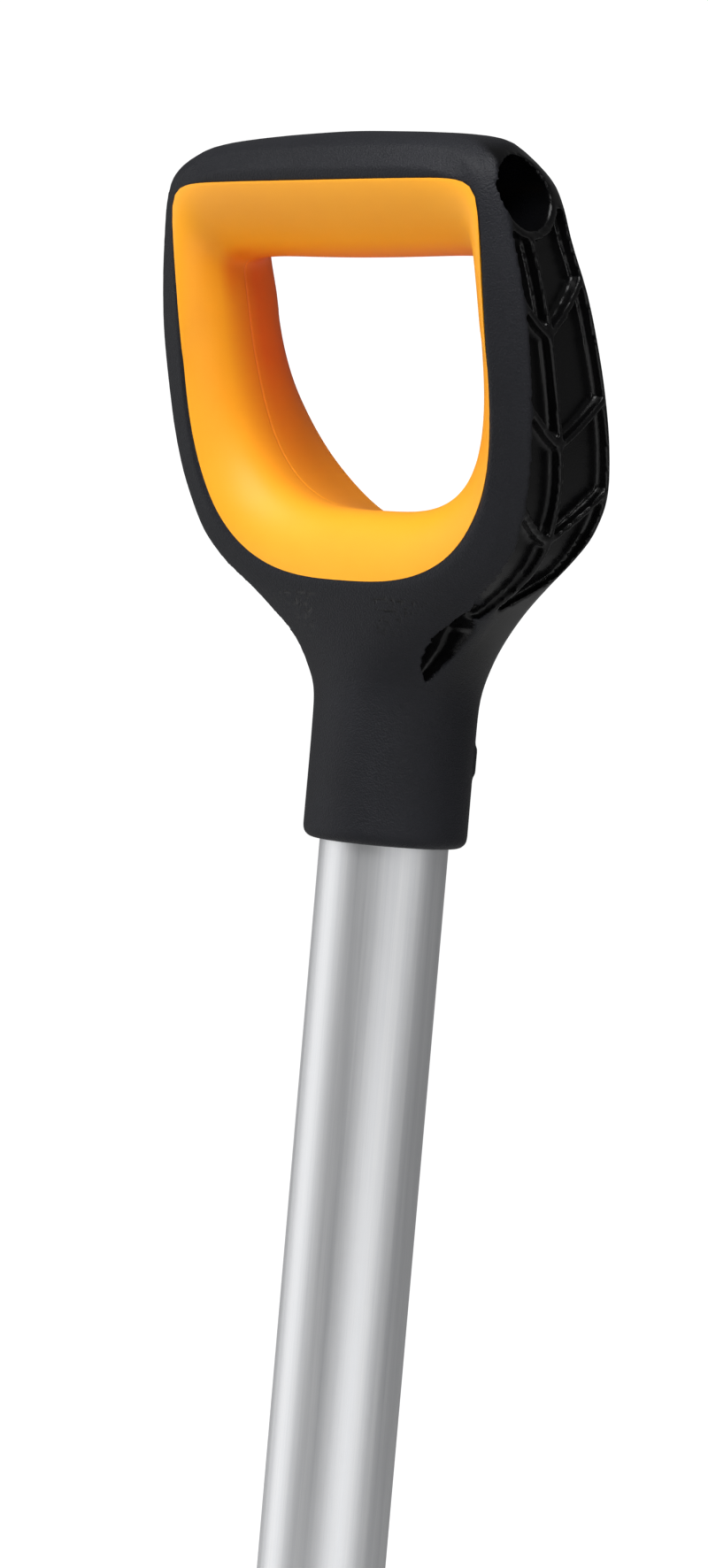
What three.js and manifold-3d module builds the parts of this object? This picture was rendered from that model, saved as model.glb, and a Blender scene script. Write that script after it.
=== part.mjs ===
// Digging fork with a D-handle: four forged tines, a riveted aluminium shaft and a two-colour grip.
// Millimetres, +Z up. The tines point down, X runs across the D and the D's front faces -Y.
// Heights in the dimensions below are measured inside each piece; the stack is built up from the tips.

import * as THREE from 'three';
import { mergeVertices } from 'three/addons/utils/BufferGeometryUtils.js';
import Module from 'manifold-3d';

const wasm = await Module();
wasm.setup();

// ---- Driving dimensions -------------------------------------------------------------------------

const GAP = 0.3;                    // clearance between pieces that touch

const TINE_LENGTH = 285;
const TINE_SIZE = 11;               // across the flats of the square tine
const TINE_TIP = 3.2;
const TINE_SWEEP = 34;              // how far the tips lie in front of the shaft axis
const HEAD_WIDTH = 190;             // over the outer tines
const HEAD_THICKNESS = 12.5;
const STUB_LENGTH = 16;             // the crosshead's short legs that the tines are welded to
const BEAM_HEIGHT = 17;

const TREAD_LENGTH = 46;
const TREAD_DEPTH = 34;
const TREAD_SHEET = 2.5;
const TREAD_LIP = 9;

const NECK_LENGTH = 100;
const NECK_ROOT_WIDTH = 42;
const TANG_LENGTH = 76;             // the part of the forging that is inside the tube
const TANG_WALL = 4.4;

const TUBE_OD = 38;
const TUBE_WALL = 1.8;
const TUBE_LENGTH = 620;
const FERRULE_WALL = 3.2;
const FERRULE_LENGTH = 36;
const FERRULE_LIP = 6;
const RIVET_DIAMETER = 6;
const RIVET_HEAD = 10;
const RIVET_SPACING = 26;
const PLUG_LENGTH = 44;
const SCREW_DIAMETER = 4.2;
const SCREW_HEAD = 7.6;
const SCREW_LENGTH = 17;
const SCREW_HEIGHT = 26;            // above the collar's lower edge

const COLLAR_WALL = 4.9;
const SOCKET_DEPTH = 50;
const HANDLE_WIDTH = 135.8;
const GRIP_BORE = 21;
const GRIP_BORE_DEPTH = 48;
const GRIP_RING_WALL = 2.8;
const GRIP_CORE_WALL = 2.1;         // shell between the bore and the lining's seat
const LEG_FACE = 11.2;              // width of the D's black face beside the opening
const LEG_BULGE = 8.2;              // how far the legs swell into the opening at mid depth
const LINING = 2.6;                 // thickness of the soft lining
const POCKET_DEPTH = 8;
const POCKET_WALL = 2;              // shell left between a side pocket and the lining's seat
const RIB = 2.2;
const PAD_HEIGHT = 8;
const PAD_PROUD = 0.65;

// ---- Sizes and levels that follow from them -----------------------------------------------------

const TUBE_R = TUBE_OD / 2;
const TUBE_BORE_R = TUBE_R - TUBE_WALL;
const COLLAR_R = TUBE_R + GAP + COLLAR_WALL;
const SCREW_HOLE_R = SCREW_DIAMETER / 2 + GAP;
const RIVET_HOLE_R = RIVET_DIAMETER / 2 + GAP;

const STUB_Z = TINE_LENGTH + GAP;
const BEAM_Z = STUB_Z + STUB_LENGTH;
const BEAM_TOP = BEAM_Z + BEAM_HEIGHT;
const NECK_Z = BEAM_TOP + GAP;
const TANG_Z = NECK_Z + NECK_LENGTH;
const TUBE_Z = TANG_Z + GAP;
const TUBE_TOP = TUBE_Z + TUBE_LENGTH;
const HANDLE_Z = TUBE_TOP + GAP - SOCKET_DEPTH;
const SCREW_Z = HANDLE_Z + SCREW_HEIGHT;
const FERRULE_Z = TUBE_Z - FERRULE_LIP;
const LOWER_RIVET_Z = FERRULE_Z + FERRULE_LENGTH + 0.8 * RIVET_HEAD;
const OUTER_TINE_X = (HEAD_WIDTH - TINE_SIZE) / 2;

// The D's outline by height above the collar's lower edge. Spread 0 is the collar's radius and 1 the
// full width; front and back are Y; square 0 is an ellipse and 1 a rounded rectangle.
const STATIONS = [
  { z: 0, spread: 0, front: -COLLAR_R, back: COLLAR_R, square: 0 },
  { z: 38, spread: 0, front: -COLLAR_R, back: COLLAR_R, square: 0 },
  { z: 46, spread: 0.03, front: -COLLAR_R, back: COLLAR_R - 0.6, square: 0.02 },
  { z: 55, spread: 0.14, front: -COLLAR_R - 0.1, back: COLLAR_R - 3.2, square: 0.15 },
  { z: 62, spread: 0.26, front: -24.6, back: 18.2, square: 0.32 },
  { z: 70, spread: 0.435, front: -25.2, back: 14.2, square: 0.55 },
  { z: 78, spread: 0.637, front: -26.5, back: 10.2, square: 0.78 },
  { z: 86, spread: 0.778, front: -28.1, back: 10.8, square: 0.93 },
  { z: 94, spread: 0.851, front: -30, back: 13.8, square: 1 },
  { z: 104, spread: 0.927, front: -32.4, back: 14.2, square: 1 },
  { z: 116, spread: 0.973, front: -35.4, back: 11, square: 1 },
  { z: 130, spread: 0.995, front: -38.8, back: 6.1, square: 1 },
  { z: 145, spread: 1, front: -42.5, back: -0.2, square: 1 },
  { z: 160, spread: 0.968, front: -46.2, back: -5.9, square: 1 },
  { z: 174, spread: 0.911, front: -49.7, back: -12, square: 1 },
  { z: 184, spread: 0.866, front: -52, back: -14.4, square: 0.96 },
  { z: 190, spread: 0.82, front: -52.4, back: -15.6, square: 0.85 },
  { z: 195, spread: 0.752, front: -50.8, back: -18.6, square: 0.6 },
  { z: 198.4, spread: 0.65, front: -47.6, back: -24, square: 0.3 },
  { z: 200.4, spread: 0.33, front: -44.4, back: -29.6, square: 0 },
  { z: 201.4, spread: -0.25, front: -41.8, back: -35, square: 0 },
];
const CROWN_FRONT = 6;
const CROWN_BACK = 3;
const FRONT_CORNER = 3.5;
const BACK_CORNER = 7;
const FLANK_DRAFT = 2;

// The hand opening: its narrowest outline at mid depth and its wider ones at the front and back faces.
const MOUTH_HALF_WIDTH = HANDLE_WIDTH / 2 - LEG_FACE;
const FRONT_MOUTH = {
  halfWidth: MOUTH_HALF_WIDTH, centreZ: 138, below: 66, above: 52, roundBelow: 3, roundAbove: 7,
};
const BACK_MOUTH = {
  halfWidth: MOUTH_HALF_WIDTH, centreZ: 138, below: 45.8, above: 52, roundBelow: 1.9, roundAbove: 7,
};
const THROAT = {
  halfWidth: MOUTH_HALF_WIDTH - LEG_BULGE, centreZ: 157, below: 60.4, above: 11.5,
  roundBelow: 3.2, roundAbove: 6.4,
};
const LINING_SWELL = 3.2;            // how squarely the lining's swelling stands, seen across its depth
const LIP = 1.3;                    // shell left in front of the lining's edge
const THROUGH = 2.3;                 // a cutter this many half depths long runs clear of both faces
const GRIP_CENTRE = {
  y: -38.6,
  z: THROAT.centreZ + THROAT.above + LINING + GAP + GRIP_CORE_WALL + GRIP_BORE / 2,
};

// ---- Helpers ------------------------------------------------------------------------------------

// A closed solid from a list of rings with the same number of points, capped at both ends.
function loft(rings) {
  const count = rings[0].length;
  const positions = rings.flat(2);
  const index = [];
  for (let r = 0; r + 1 < rings.length; r += 1) {
    for (let i = 0; i < count; i += 1) {
      const a = r * count + i;
      const b = r * count + ((i + 1) % count);
      index.push(a, b, b + count, a, b + count, a + count);
    }
  }
  for (const [first, flip] of [[0, true], [(rings.length - 1) * count, false]]) {
    const ring = rings[flip ? 0 : rings.length - 1];
    const centre = positions.length / 3;
    for (let axis = 0; axis < 3; axis += 1) {
      positions.push(ring.reduce((sum, point) => sum + point[axis], 0) / count);
    }
    for (let i = 0; i < count; i += 1) {
      const a = first + i;
      const b = first + ((i + 1) % count);
      index.push(...(flip ? [centre, b, a] : [centre, a, b]));
    }
  }
  const geometry = new THREE.BufferGeometry();
  geometry.setAttribute('position', new THREE.Float32BufferAttribute(positions, 3));
  geometry.setIndex(index);
  return geometry;
}

// A three.js geometry as a solid that can be joined and cut.
function solid(geometry) {
  const bare = geometry.clone();
  bare.deleteAttribute('normal');
  bare.deleteAttribute('uv');
  const merged = mergeVertices(bare, 1e-4);
  return new wasm.Manifold(new wasm.Mesh({
    numProp: 3,
    vertProperties: new Float32Array(merged.attributes.position.array),
    triVerts: new Uint32Array(merged.index.array),
  }));
}

function geometryOf(manifold) {
  const mesh = manifold.getMesh();
  const geometry = new THREE.BufferGeometry();
  geometry.setAttribute('position', new THREE.BufferAttribute(mesh.vertProperties, 3));
  geometry.setIndex(new THREE.BufferAttribute(mesh.triVerts, 1));
  return geometry;
}

function subtractAll(body, cutters) {
  return cutters.reduce((rest, cutter) => rest.subtract(cutter), body);
}

// A cylinder along X, Y or Z, centred on a point.
function rod(axis, radius, length, x, y, z, sides = 24) {
  const geometry = new THREE.CylinderGeometry(radius, radius, length, sides);
  if (axis === 'x') geometry.rotateZ(Math.PI / 2);
  if (axis === 'z') geometry.rotateX(Math.PI / 2);
  geometry.translate(x, y, z);
  return geometry;
}

// A ring or plug turned about the Z axis, from a profile of [radius, z] pairs.
function turned(profile, sides) {
  const points = profile.map(([r, z]) => new THREE.Vector2(r, z));
  const geometry = new THREE.LatheGeometry(points, sides);
  geometry.rotateX(Math.PI / 2);
  return geometry;
}

// The value of one station field at any height, on a smooth curve through the stations.
function stationValue(field, z) {
  const last = STATIONS.length - 1;
  let i = 0;
  while (i < last - 1 && z > STATIONS[i + 1].z) i += 1;
  const slope = (k) => {
    const lower = STATIONS[Math.max(k - 1, 0)];
    const upper = STATIONS[Math.min(k + 1, last)];
    return (upper[field] - lower[field]) / (upper.z - lower.z);
  };
  const p = STATIONS[i];
  const q = STATIONS[i + 1];
  const span = q.z - p.z;
  const t = THREE.MathUtils.clamp((z - p.z) / span, 0, 1);
  const t2 = t * t;
  const t3 = t2 * t;
  return (2 * t3 - 3 * t2 + 1) * p[field] + (t3 - 2 * t2 + t) * span * slope(i)
    + (3 * t2 - 2 * t3) * q[field] + (t3 - t2) * span * slope(i + 1);
}

// ---- Handle -------------------------------------------------------------------------------------

// The right half of the D's section at one height, from the middle of the front to the middle of the
// back. Inset narrows it, which leaves the floor of the side pockets; thin moves both faces inwards.
function halfSection(z, inset = 0, thin = 0) {
  const spread = stationValue('spread', z);
  const width = COLLAR_R + (HANDLE_WIDTH / 2 - COLLAR_R) * spread - inset;
  const front = stationValue('front', z) + thin;
  const back = stationValue('back', z) - thin;
  const square = THREE.MathUtils.clamp(stationValue('square', z), 0, 1);
  const squared = [];
  for (const u of [0, 0.35, 0.62, 0.8, 0.92]) {
    squared.push([u * (width - FRONT_CORNER * 0.3), front - CROWN_FRONT * (1 - u ** 5)]);
  }
  for (const angle of [-65, -25]) {
    const a = THREE.MathUtils.degToRad(angle);
    squared.push([width + FRONT_CORNER * (Math.cos(a) - 1), front + FRONT_CORNER * (1 + Math.sin(a))]);
  }
  for (const v of [0, 0.5, 1]) {
    const y = front + FRONT_CORNER + (back - BACK_CORNER - front - FRONT_CORNER) * v;
    squared.push([width - FLANK_DRAFT * v, y]);
  }
  for (const angle of [30, 62]) {
    const a = THREE.MathUtils.degToRad(angle);
    const x = width - FLANK_DRAFT + BACK_CORNER * (Math.cos(a) - 1);
    squared.push([x, back + BACK_CORNER * (Math.sin(a) - 1)]);
  }
  for (const u of [0.75, 0.4, 0]) {
    squared.push([u * (width - FLANK_DRAFT - BACK_CORNER * 0.3), back + CROWN_BACK * (1 - u ** 4)]);
  }
  return squared.map(([x, y], i) => {
    const angle = -Math.PI / 2 + (Math.PI * i) / (squared.length - 1);
    const roundX = i === squared.length - 1 ? 0 : width * Math.cos(angle);
    const roundY = (front + back) / 2 + ((back - front) / 2) * Math.sin(angle);
    return [roundX + (x - roundX) * square, roundY + (y - roundY) * square];
  });
}

// The front or back surface of the D at one place across it.
function faceY(x, z, atFront) {
  const half = halfSection(z);
  const points = atFront ? half : [...half].reverse();
  let i = 1;
  while (i < points.length / 2 && points[i][0] < Math.abs(x)) i += 1;
  const [x0, y0] = points[i - 1];
  const [x1, y1] = points[i];
  return y0 + (y1 - y0) * THREE.MathUtils.clamp((Math.abs(x) - x0) / (x1 - x0), 0, 1);
}

function handleBody(inset = 0, thin = 0) {
  const rings = STATIONS.map(({ z }) => {
    const half = halfSection(z, inset, thin);
    const mirrored = half.slice(1, -1).reverse().map(([x, y]) => [-x, y]);
    return [...half, ...mirrored].map(([x, y]) => [x, y, HANDLE_Z + z]);
  });
  return solid(loft(rings));
}

// One point of an opening outline, by angle around it.
function outlinePoint({ halfWidth, centreZ, below, above, roundBelow, roundAbove }, angle) {
  const c = Math.cos(angle);
  const s = Math.sin(angle);
  const power = 2 / (s < 0 ? roundBelow : roundAbove);
  const x = halfWidth * Math.sign(c) * Math.abs(c) ** power;
  return [x, centreZ + (s < 0 ? below : above) * Math.sign(s) * Math.abs(s) ** power];
}

// The hand opening as a solid: narrow at mid depth, opening out to both faces. Under the grip bar it
// follows the bar's round underside, and on the legs and the saddle a slower curve. Grow widens it all
// round in the plane of the D.
function openingCutter(grow = 0) {
  const count = 36;
  const nearer = [0.3, 0.55, 0.75, 0.9, 1, THROUGH];
  const depths = [...nearer.map((share) => -share).reverse(), 0, ...nearer];
  const rings = depths.map((depth) => {
    const d = Math.min(Math.abs(depth), 1);
    const ring = [];
    for (let i = 0; i < count; i += 1) {
      const angle = -(2 * Math.PI * i) / count;
      const [throatX, throatZ] = outlinePoint(THROAT, angle);
      const [mouthX, mouthZ] = outlinePoint(depth < 0 ? FRONT_MOUTH : BACK_MOUTH, angle);
      const bar = THREE.MathUtils.smoothstep(throatZ, 150, 166);
      const open = d ** LINING_SWELL * (1 - bar) + (1 - Math.sqrt(1 - d * d)) * bar;
      const x = throatX + (mouthX - throatX) * open;
      const z = throatZ + (mouthZ - throatZ) * open;
      const front = faceY(x, z, true);
      const back = faceY(x, z, false);
      ring.push([x, (front + back) / 2 + ((back - front) / 2) * depth, z]);
    }
    return ring.map(([x, y, z], i) => {
      const before = ring[(i + count - 1) % count];
      const after = ring[(i + 1) % count];
      const length = Math.hypot(after[0] - before[0], after[2] - before[2]);
      const outX = -(after[2] - before[2]) / length;
      const outZ = (after[0] - before[0]) / length;
      return [x + outX * grow, y, HANDLE_Z + z + outZ * grow];
    });
  });
  return solid(loft(rings));
}

// A plate of the given (Y, height) outline that stands across the whole handle in X, on one side.
function sidePlate(points, side) {
  const shape = new THREE.Shape(points.map(([y, z]) => new THREE.Vector2(y, z)));
  const geometry = new THREE.ExtrudeGeometry(shape, { depth: HANDLE_WIDTH, bevelEnabled: false });
  geometry.rotateX(Math.PI / 2);
  geometry.rotateZ(Math.PI / 2);
  if (side < 0) geometry.translate(-HANDLE_WIDTH, 0, 0);
  geometry.translate(0, 0, HANDLE_Z);
  return solid(geometry);
}

// A straight rib between two (Y, height) points.
function ribPlate([y0, z0], [y1, z1], side) {
  const length = Math.hypot(y1 - y0, z1 - z0);
  const ny = (-(z1 - z0) / length) * (RIB / 2);
  const nz = ((y1 - y0) / length) * (RIB / 2);
  return sidePlate([[y0 + ny, z0 + nz], [y0 - ny, z0 - nz], [y1 - ny, z1 - nz], [y1 + ny, z1 + nz]], side);
}

const SPINE = [[-38, 176], [-28.4, 146], [-17.8, 116.4], [-10.4, 90.2], [-15, 65]];
const RIB_ARMS = [
  [SPINE[1], [-46, 158]], [SPINE[1], [-10, 165.5]],
  [SPINE[2], [-38, 129]], [SPINE[2], [5, 135.5]],
  [SPINE[3], [-31, 101]], [SPINE[3], [13, 111.5]],
];
const FRONT_WALL = 3.2;
const BACK_WALL = 4.2;

// The ribbed pocket in one side of the D: an outline that keeps a wall at the front and the back,
// less the ribs and the ring round the grip's bore.
function sidePocket(side, floor, opening) {
  const heights = [182, 170, 155, 140, 125, 110, 98, 88, 79];
  const fronts = heights.map((z) => [stationValue('front', z) + FRONT_WALL, z]);
  const backs = [90, 98, 110, 125, 140, 155, 170, 182].map((z) => [stationValue('back', z) - BACK_WALL, z]);
  const outline = [...fronts, [-21, 72.5], [-17.2, 67.6], [-14.4, 67.4], [-7, 72.5], [4, 81.5], ...backs];
  const tail = [[-20.4, 68.5], [-16.4, 64.6], [-15.4, 57], [-16, 50.5], [-18.4, 55], [-20.2, 61]];
  const ribs = [];
  for (let i = 0; i + 1 < SPINE.length; i += 1) ribs.push(ribPlate(SPINE[i], SPINE[i + 1], side));
  for (const [from, to] of RIB_ARMS) ribs.push(ribPlate(from, to, side));
  const ringR = GRIP_BORE / 2 + GRIP_RING_WALL;
  const ring = solid(rod('x', ringR, 4 * HANDLE_WIDTH, 0, GRIP_CENTRE.y, HANDLE_Z + GRIP_CENTRE.z, 32));
  const cells = subtractAll(sidePlate(outline, side), [...ribs, ring]);
  return cells.add(sidePlate(tail, side)).subtract(floor).subtract(opening);
}

// A low pad wrapped round the back of the collar, where the handle screw goes in.
function screwPad() {
  const shape = new THREE.Shape();
  const from = THREE.MathUtils.degToRad(35);
  const to = Math.PI - from;
  shape.absarc(0, 0, COLLAR_R + PAD_PROUD, from, to, false);
  shape.absarc(0, 0, COLLAR_R - 1, to, from, true);
  const geometry = new THREE.ExtrudeGeometry(shape, { depth: PAD_HEIGHT, bevelEnabled: false, curveSegments: 12 });
  geometry.translate(0, 0, SCREW_Z - PAD_HEIGHT / 2);
  return solid(geometry);
}

function handleShell() {
  const floor = handleBody(POCKET_DEPTH);
  const opening = openingCutter(LINING + GAP + POCKET_WALL);
  const boreX = HANDLE_WIDTH / 2 - GRIP_BORE_DEPTH / 2;
  const bores = [-1, 1].map((side) => solid(
    rod('x', GRIP_BORE / 2, GRIP_BORE_DEPTH, side * boreX, GRIP_CENTRE.y, HANDLE_Z + GRIP_CENTRE.z, 28),
  ));
  const socket = solid(rod('z', TUBE_R + GAP, SOCKET_DEPTH + 1, 0, 0, HANDLE_Z + (SOCKET_DEPTH - 1) / 2, 36));
  const screwSeatY = COLLAR_R + PAD_PROUD - 1.6;
  return geometryOf(subtractAll(handleBody().add(screwPad()), [
    openingCutter(),
    openingCutter(LINING + GAP).intersect(handleBody(0, LIP)),
    sidePocket(-1, floor, opening),
    sidePocket(1, floor, opening),
    ...bores,
    socket,
    solid(rod('y', SCREW_HOLE_R, COLLAR_R, 0, COLLAR_R / 2, SCREW_Z, 16)),
    solid(rod('y', SCREW_HEAD / 2 + GAP, 8, 0, screwSeatY + 4, SCREW_Z, 20)),
  ]));
}

function gripLining() {
  return geometryOf(openingCutter(LINING).intersect(handleBody(0, LIP + 2 * GAP)).subtract(openingCutter()));
}

function handleScrew() {
  const seatY = COLLAR_R + PAD_PROUD - 1.6 + GAP;
  const tip = seatY - SCREW_LENGTH;
  const r = SCREW_DIAMETER / 2;
  const head = SCREW_HEAD / 2;
  const profile = [[0, tip], [r * 0.4, tip], [r, tip + 3], [r, seatY], [head, seatY], [head, seatY + 0.7],
    [head * 0.8, seatY + 1.5], [0, seatY + 1.9]];
  const geometry = turned(profile, 16);
  geometry.rotateX(-Math.PI / 2);
  geometry.translate(0, 0, SCREW_Z);
  return geometry;
}

// ---- Shaft --------------------------------------------------------------------------------------

function rivetHeights() {
  return [LOWER_RIVET_Z, LOWER_RIVET_Z + RIVET_SPACING];
}

function rivetHoles() {
  return rivetHeights().map((z) => solid(rod('y', RIVET_HOLE_R, 2 * TUBE_OD, 0, 0, z, 16)));
}

function shaftTube() {
  const profile = [[TUBE_BORE_R, TUBE_Z], [TUBE_R, TUBE_Z], [TUBE_R, TUBE_TOP], [TUBE_BORE_R, TUBE_TOP],
    [TUBE_BORE_R, TUBE_Z]];
  const screwHole = solid(rod('y', SCREW_HOLE_R, TUBE_R, 0, TUBE_R, SCREW_Z, 16));
  return geometryOf(subtractAll(solid(turned(profile, 40)), [...rivetHoles(), screwHole]));
}

function tubePlug() {
  const r = TUBE_BORE_R - GAP;
  const top = TUBE_TOP - 2;
  const bottom = top - PLUG_LENGTH;
  const profile = [[0, bottom], [r - 2, bottom], [r, bottom + 2], [r, top - 1], [r - 1, top], [0, top]];
  const length = TUBE_R;
  const hole = rod('y', SCREW_HOLE_R, length, 0, 3 + length / 2 + GAP, SCREW_Z, 16);
  return geometryOf(solid(turned(profile, 32)).subtract(solid(hole)));
}

function shaftFerrule() {
  const seat = TUBE_R + GAP;
  const outer = seat + FERRULE_WALL;
  const lip = TUBE_BORE_R + GAP / 2;
  const top = FERRULE_Z + FERRULE_LENGTH;
  const profile = [[lip, FERRULE_Z], [outer - 2, FERRULE_Z], [outer, FERRULE_Z + 2], [outer, top - 6],
    [outer - 1.6, top], [seat, top], [seat, TUBE_Z - GAP], [lip, TUBE_Z - GAP], [lip, FERRULE_Z]];
  return turned(profile, 40);
}

function tangRivet(z) {
  const r = RIVET_DIAMETER / 2;
  const head = RIVET_HEAD / 2;
  const seat = TUBE_R + GAP;
  const profile = [[0, -seat - 2.4], [head * 0.6, -seat - 1.9], [head, -seat], [r, -seat],
    [r, seat], [head, seat], [head * 0.6, seat + 1.9], [0, seat + 2.4]];
  const geometry = turned(profile, 16);
  geometry.rotateX(Math.PI / 2);
  geometry.translate(0, 0, z);
  return geometry;
}

// ---- Head ---------------------------------------------------------------------------------------

// A closed ring of a rounded-rectangle section, as a superellipse.
function roundedRing(halfX, halfY, power, x, y, z, count) {
  const ring = [];
  for (let i = 0; i < count; i += 1) {
    const a = (2 * Math.PI * (i + 0.5)) / count;
    const c = Math.cos(a);
    const s = Math.sin(a);
    ring.push([
      x + halfX * Math.sign(c) * Math.abs(c) ** (2 / power),
      y + halfY * Math.sign(s) * Math.abs(s) ** (2 / power),
      z,
    ]);
  }
  return ring;
}

// The forged neck: a flat flared foot on the crosshead that turns round, then the tang in the tube.
function tangNeck() {
  const tangR = TUBE_BORE_R - GAP;
  const levels = [
    { at: 0, x: NECK_ROOT_WIDTH / 2, y: HEAD_THICKNESS / 2, power: 5 },
    { at: 0.12, x: NECK_ROOT_WIDTH / 2 - 5, y: HEAD_THICKNESS / 2 + 0.4, power: 4 },
    { at: 0.3, x: 13, y: 8.2, power: 3 },
    { at: 0.52, x: 11, y: 9.8, power: 2.4 },
    { at: 0.76, x: 13, y: 12.6, power: 2 },
    { at: 0.9, x: tangR, y: tangR, power: 2 },
  ];
  const rings = levels.map(({ at, x, y, power }) => roundedRing(x, y, power, 0, 0, NECK_Z + at * NECK_LENGTH, 28));
  const top = TANG_Z + TANG_LENGTH;
  rings.push(roundedRing(tangR, tangR, 2, 0, 0, top - 6, 28));
  rings.push(roundedRing(tangR - 3, tangR - 3, 2, 0, 0, top, 28));
  const hollow = solid(rod('z', tangR - TANG_WALL, TANG_LENGTH, 0, 0, top - TANG_LENGTH / 2 + 1, 24));
  return geometryOf(subtractAll(solid(loft(rings)), [hollow, ...rivetHoles()]));
}

function tineXs() {
  const inner = OUTER_TINE_X / 3;
  return [-OUTER_TINE_X, -inner, inner, OUTER_TINE_X];
}

// The crosshead: a beam with a raised middle for the neck and four short legs for the tines.
function crosshead() {
  const half = TINE_SIZE / 2;
  const xs = tineXs();
  const shape = new THREE.Shape();
  const edge = OUTER_TINE_X + half;
  const shoulder = BEAM_TOP - 7;
  shape.moveTo(-edge, STUB_Z);
  for (let i = 0; i < xs.length; i += 1) {
    shape.lineTo(xs[i] + half, STUB_Z);
    if (i + 1 < xs.length) {
      shape.lineTo(xs[i] + half, BEAM_Z - 9);
      shape.quadraticCurveTo(xs[i] + half + 1, BEAM_Z, xs[i] + half + 10, BEAM_Z);
      shape.lineTo(xs[i + 1] - half - 10, BEAM_Z);
      shape.quadraticCurveTo(xs[i + 1] - half - 1, BEAM_Z, xs[i + 1] - half, BEAM_Z - 9);
      shape.lineTo(xs[i + 1] - half, STUB_Z);
    }
  }
  const rootX = NECK_ROOT_WIDTH / 2 + 1;
  shape.lineTo(edge, shoulder - 5);
  shape.quadraticCurveTo(edge, shoulder, edge - 5, shoulder);
  shape.lineTo(rootX + 10, shoulder);
  shape.quadraticCurveTo(rootX + 2, shoulder, rootX, BEAM_TOP);
  shape.lineTo(-rootX, BEAM_TOP);
  shape.quadraticCurveTo(-rootX - 2, shoulder, -rootX - 10, shoulder);
  shape.lineTo(-edge + 5, shoulder);
  shape.quadraticCurveTo(-edge, shoulder, -edge, shoulder - 5);
  const options = { depth: HEAD_THICKNESS, bevelEnabled: false, curveSegments: 5 };
  const geometry = new THREE.ExtrudeGeometry(shape, options);
  geometry.rotateX(Math.PI / 2);
  geometry.translate(0, HEAD_THICKNESS / 2, 0);
  return geometryOf(solid(geometry));
}

// One tine: square with eased edges, swept forward towards a short drawn-out point.
function tine(x) {
  const rings = [];
  const steps = 13;
  for (let i = 0; i <= steps; i += 1) {
    const t = i / steps;
    const z = TINE_LENGTH * t;
    const y = -TINE_SWEEP * (1 - t) ** 2;
    const taper = Math.min(1, 0.62 + t * 0.9);
    const point = Math.min(1, TINE_TIP / TINE_SIZE + t * 7);
    const half = (TINE_SIZE / 2) * taper * point;
    rings.push(roundedRing(half, half, 7, x, y, z, 12));
  }
  return loft(rings);
}

// One folded foot tread: a flat plate with a lip turned down over the beam at the front and back.
function tread(side) {
  const depth = TREAD_DEPTH / 2;
  const top = BEAM_TOP - 7 + GAP + TREAD_SHEET;
  const under = top - TREAD_SHEET;
  const points = [[-depth, top - TREAD_LIP], [-depth + TREAD_SHEET, top - TREAD_LIP], [-depth + TREAD_SHEET, under],
    [depth - TREAD_SHEET, under], [depth - TREAD_SHEET, top - TREAD_LIP], [depth, top - TREAD_LIP],
    [depth, top - 1], [depth - 1, top], [-depth + 1, top], [-depth, top - 1]];
  const shape = new THREE.Shape(points.map(([y, z]) => new THREE.Vector2(y, z)));
  const geometry = new THREE.ExtrudeGeometry(shape, { depth: TREAD_LENGTH, bevelEnabled: false });
  geometry.rotateX(Math.PI / 2);
  geometry.rotateZ(Math.PI / 2);
  const outer = HEAD_WIDTH / 2 - 1;
  geometry.translate(side > 0 ? outer - TREAD_LENGTH : -outer, 0, 0);
  return geometry;
}

// ---- Assembly -----------------------------------------------------------------------------------

const FINISHES = {
  shell: new THREE.MeshStandardMaterial({ color: 0x222326, roughness: 0.55, metalness: 0 }),
  lining: new THREE.MeshStandardMaterial({ color: 0xf79a25, roughness: 0.5, metalness: 0 }),
  aluminium: new THREE.MeshStandardMaterial({ color: 0xc3c7cb, roughness: 0.35, metalness: 1 }),
  blackSteel: new THREE.MeshStandardMaterial({ color: 0x1c1d1f, roughness: 0.5, metalness: 0.3 }),
  zincSteel: new THREE.MeshStandardMaterial({ color: 0x9c9fa3, roughness: 0.35, metalness: 1 }),
  nylon: new THREE.MeshStandardMaterial({ color: 0xd9d6cc, roughness: 0.6, metalness: 0 }),
};

const fork = new THREE.Group();

function place(name, geometry, finish) {
  const mesh = new THREE.Mesh(geometry, FINISHES[finish]);
  mesh.name = name;
  fork.add(mesh);
}

place('handle_shell', handleShell(), 'shell');
place('grip_lining', gripLining(), 'lining');
place('handle_screw', handleScrew(), 'zincSteel');
place('shaft_tube', shaftTube(), 'aluminium');
place('tube_plug', tubePlug(), 'nylon');
place('shaft_ferrule', shaftFerrule(), 'shell');
place('tang_neck', tangNeck(), 'blackSteel');
['tang_rivet_lower', 'tang_rivet_upper'].forEach((name, i) => {
  place(name, tangRivet(rivetHeights()[i]), 'zincSteel');
});
place('crosshead', crosshead(), 'blackSteel');
['tine_outer_left', 'tine_inner_left', 'tine_inner_right', 'tine_outer_right'].forEach((name, i) => {
  place(name, tine(tineXs()[i]), 'blackSteel');
});
place('tread_left', tread(-1), 'blackSteel');
place('tread_right', tread(1), 'blackSteel');

// The fork hangs or is held by its grip, so the origin is the middle of the grip's underside.
fork.position.set(0, -GRIP_CENTRE.y, -(HANDLE_Z + THROAT.centreZ + THROAT.above));

export default fork;
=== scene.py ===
# %% [markdown]
# # A digging fork
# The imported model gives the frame: where every piece sits and how big it is. This script only makes
# the looks, so it loads that frame first and takes every place from it. Work is done in metres, and
# sizes that are easier to read in millimetres are multiplied by `MM`.

import math

import bmesh
import bpy
import numpy as np
from mathutils import Euler, Matrix, Vector


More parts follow.
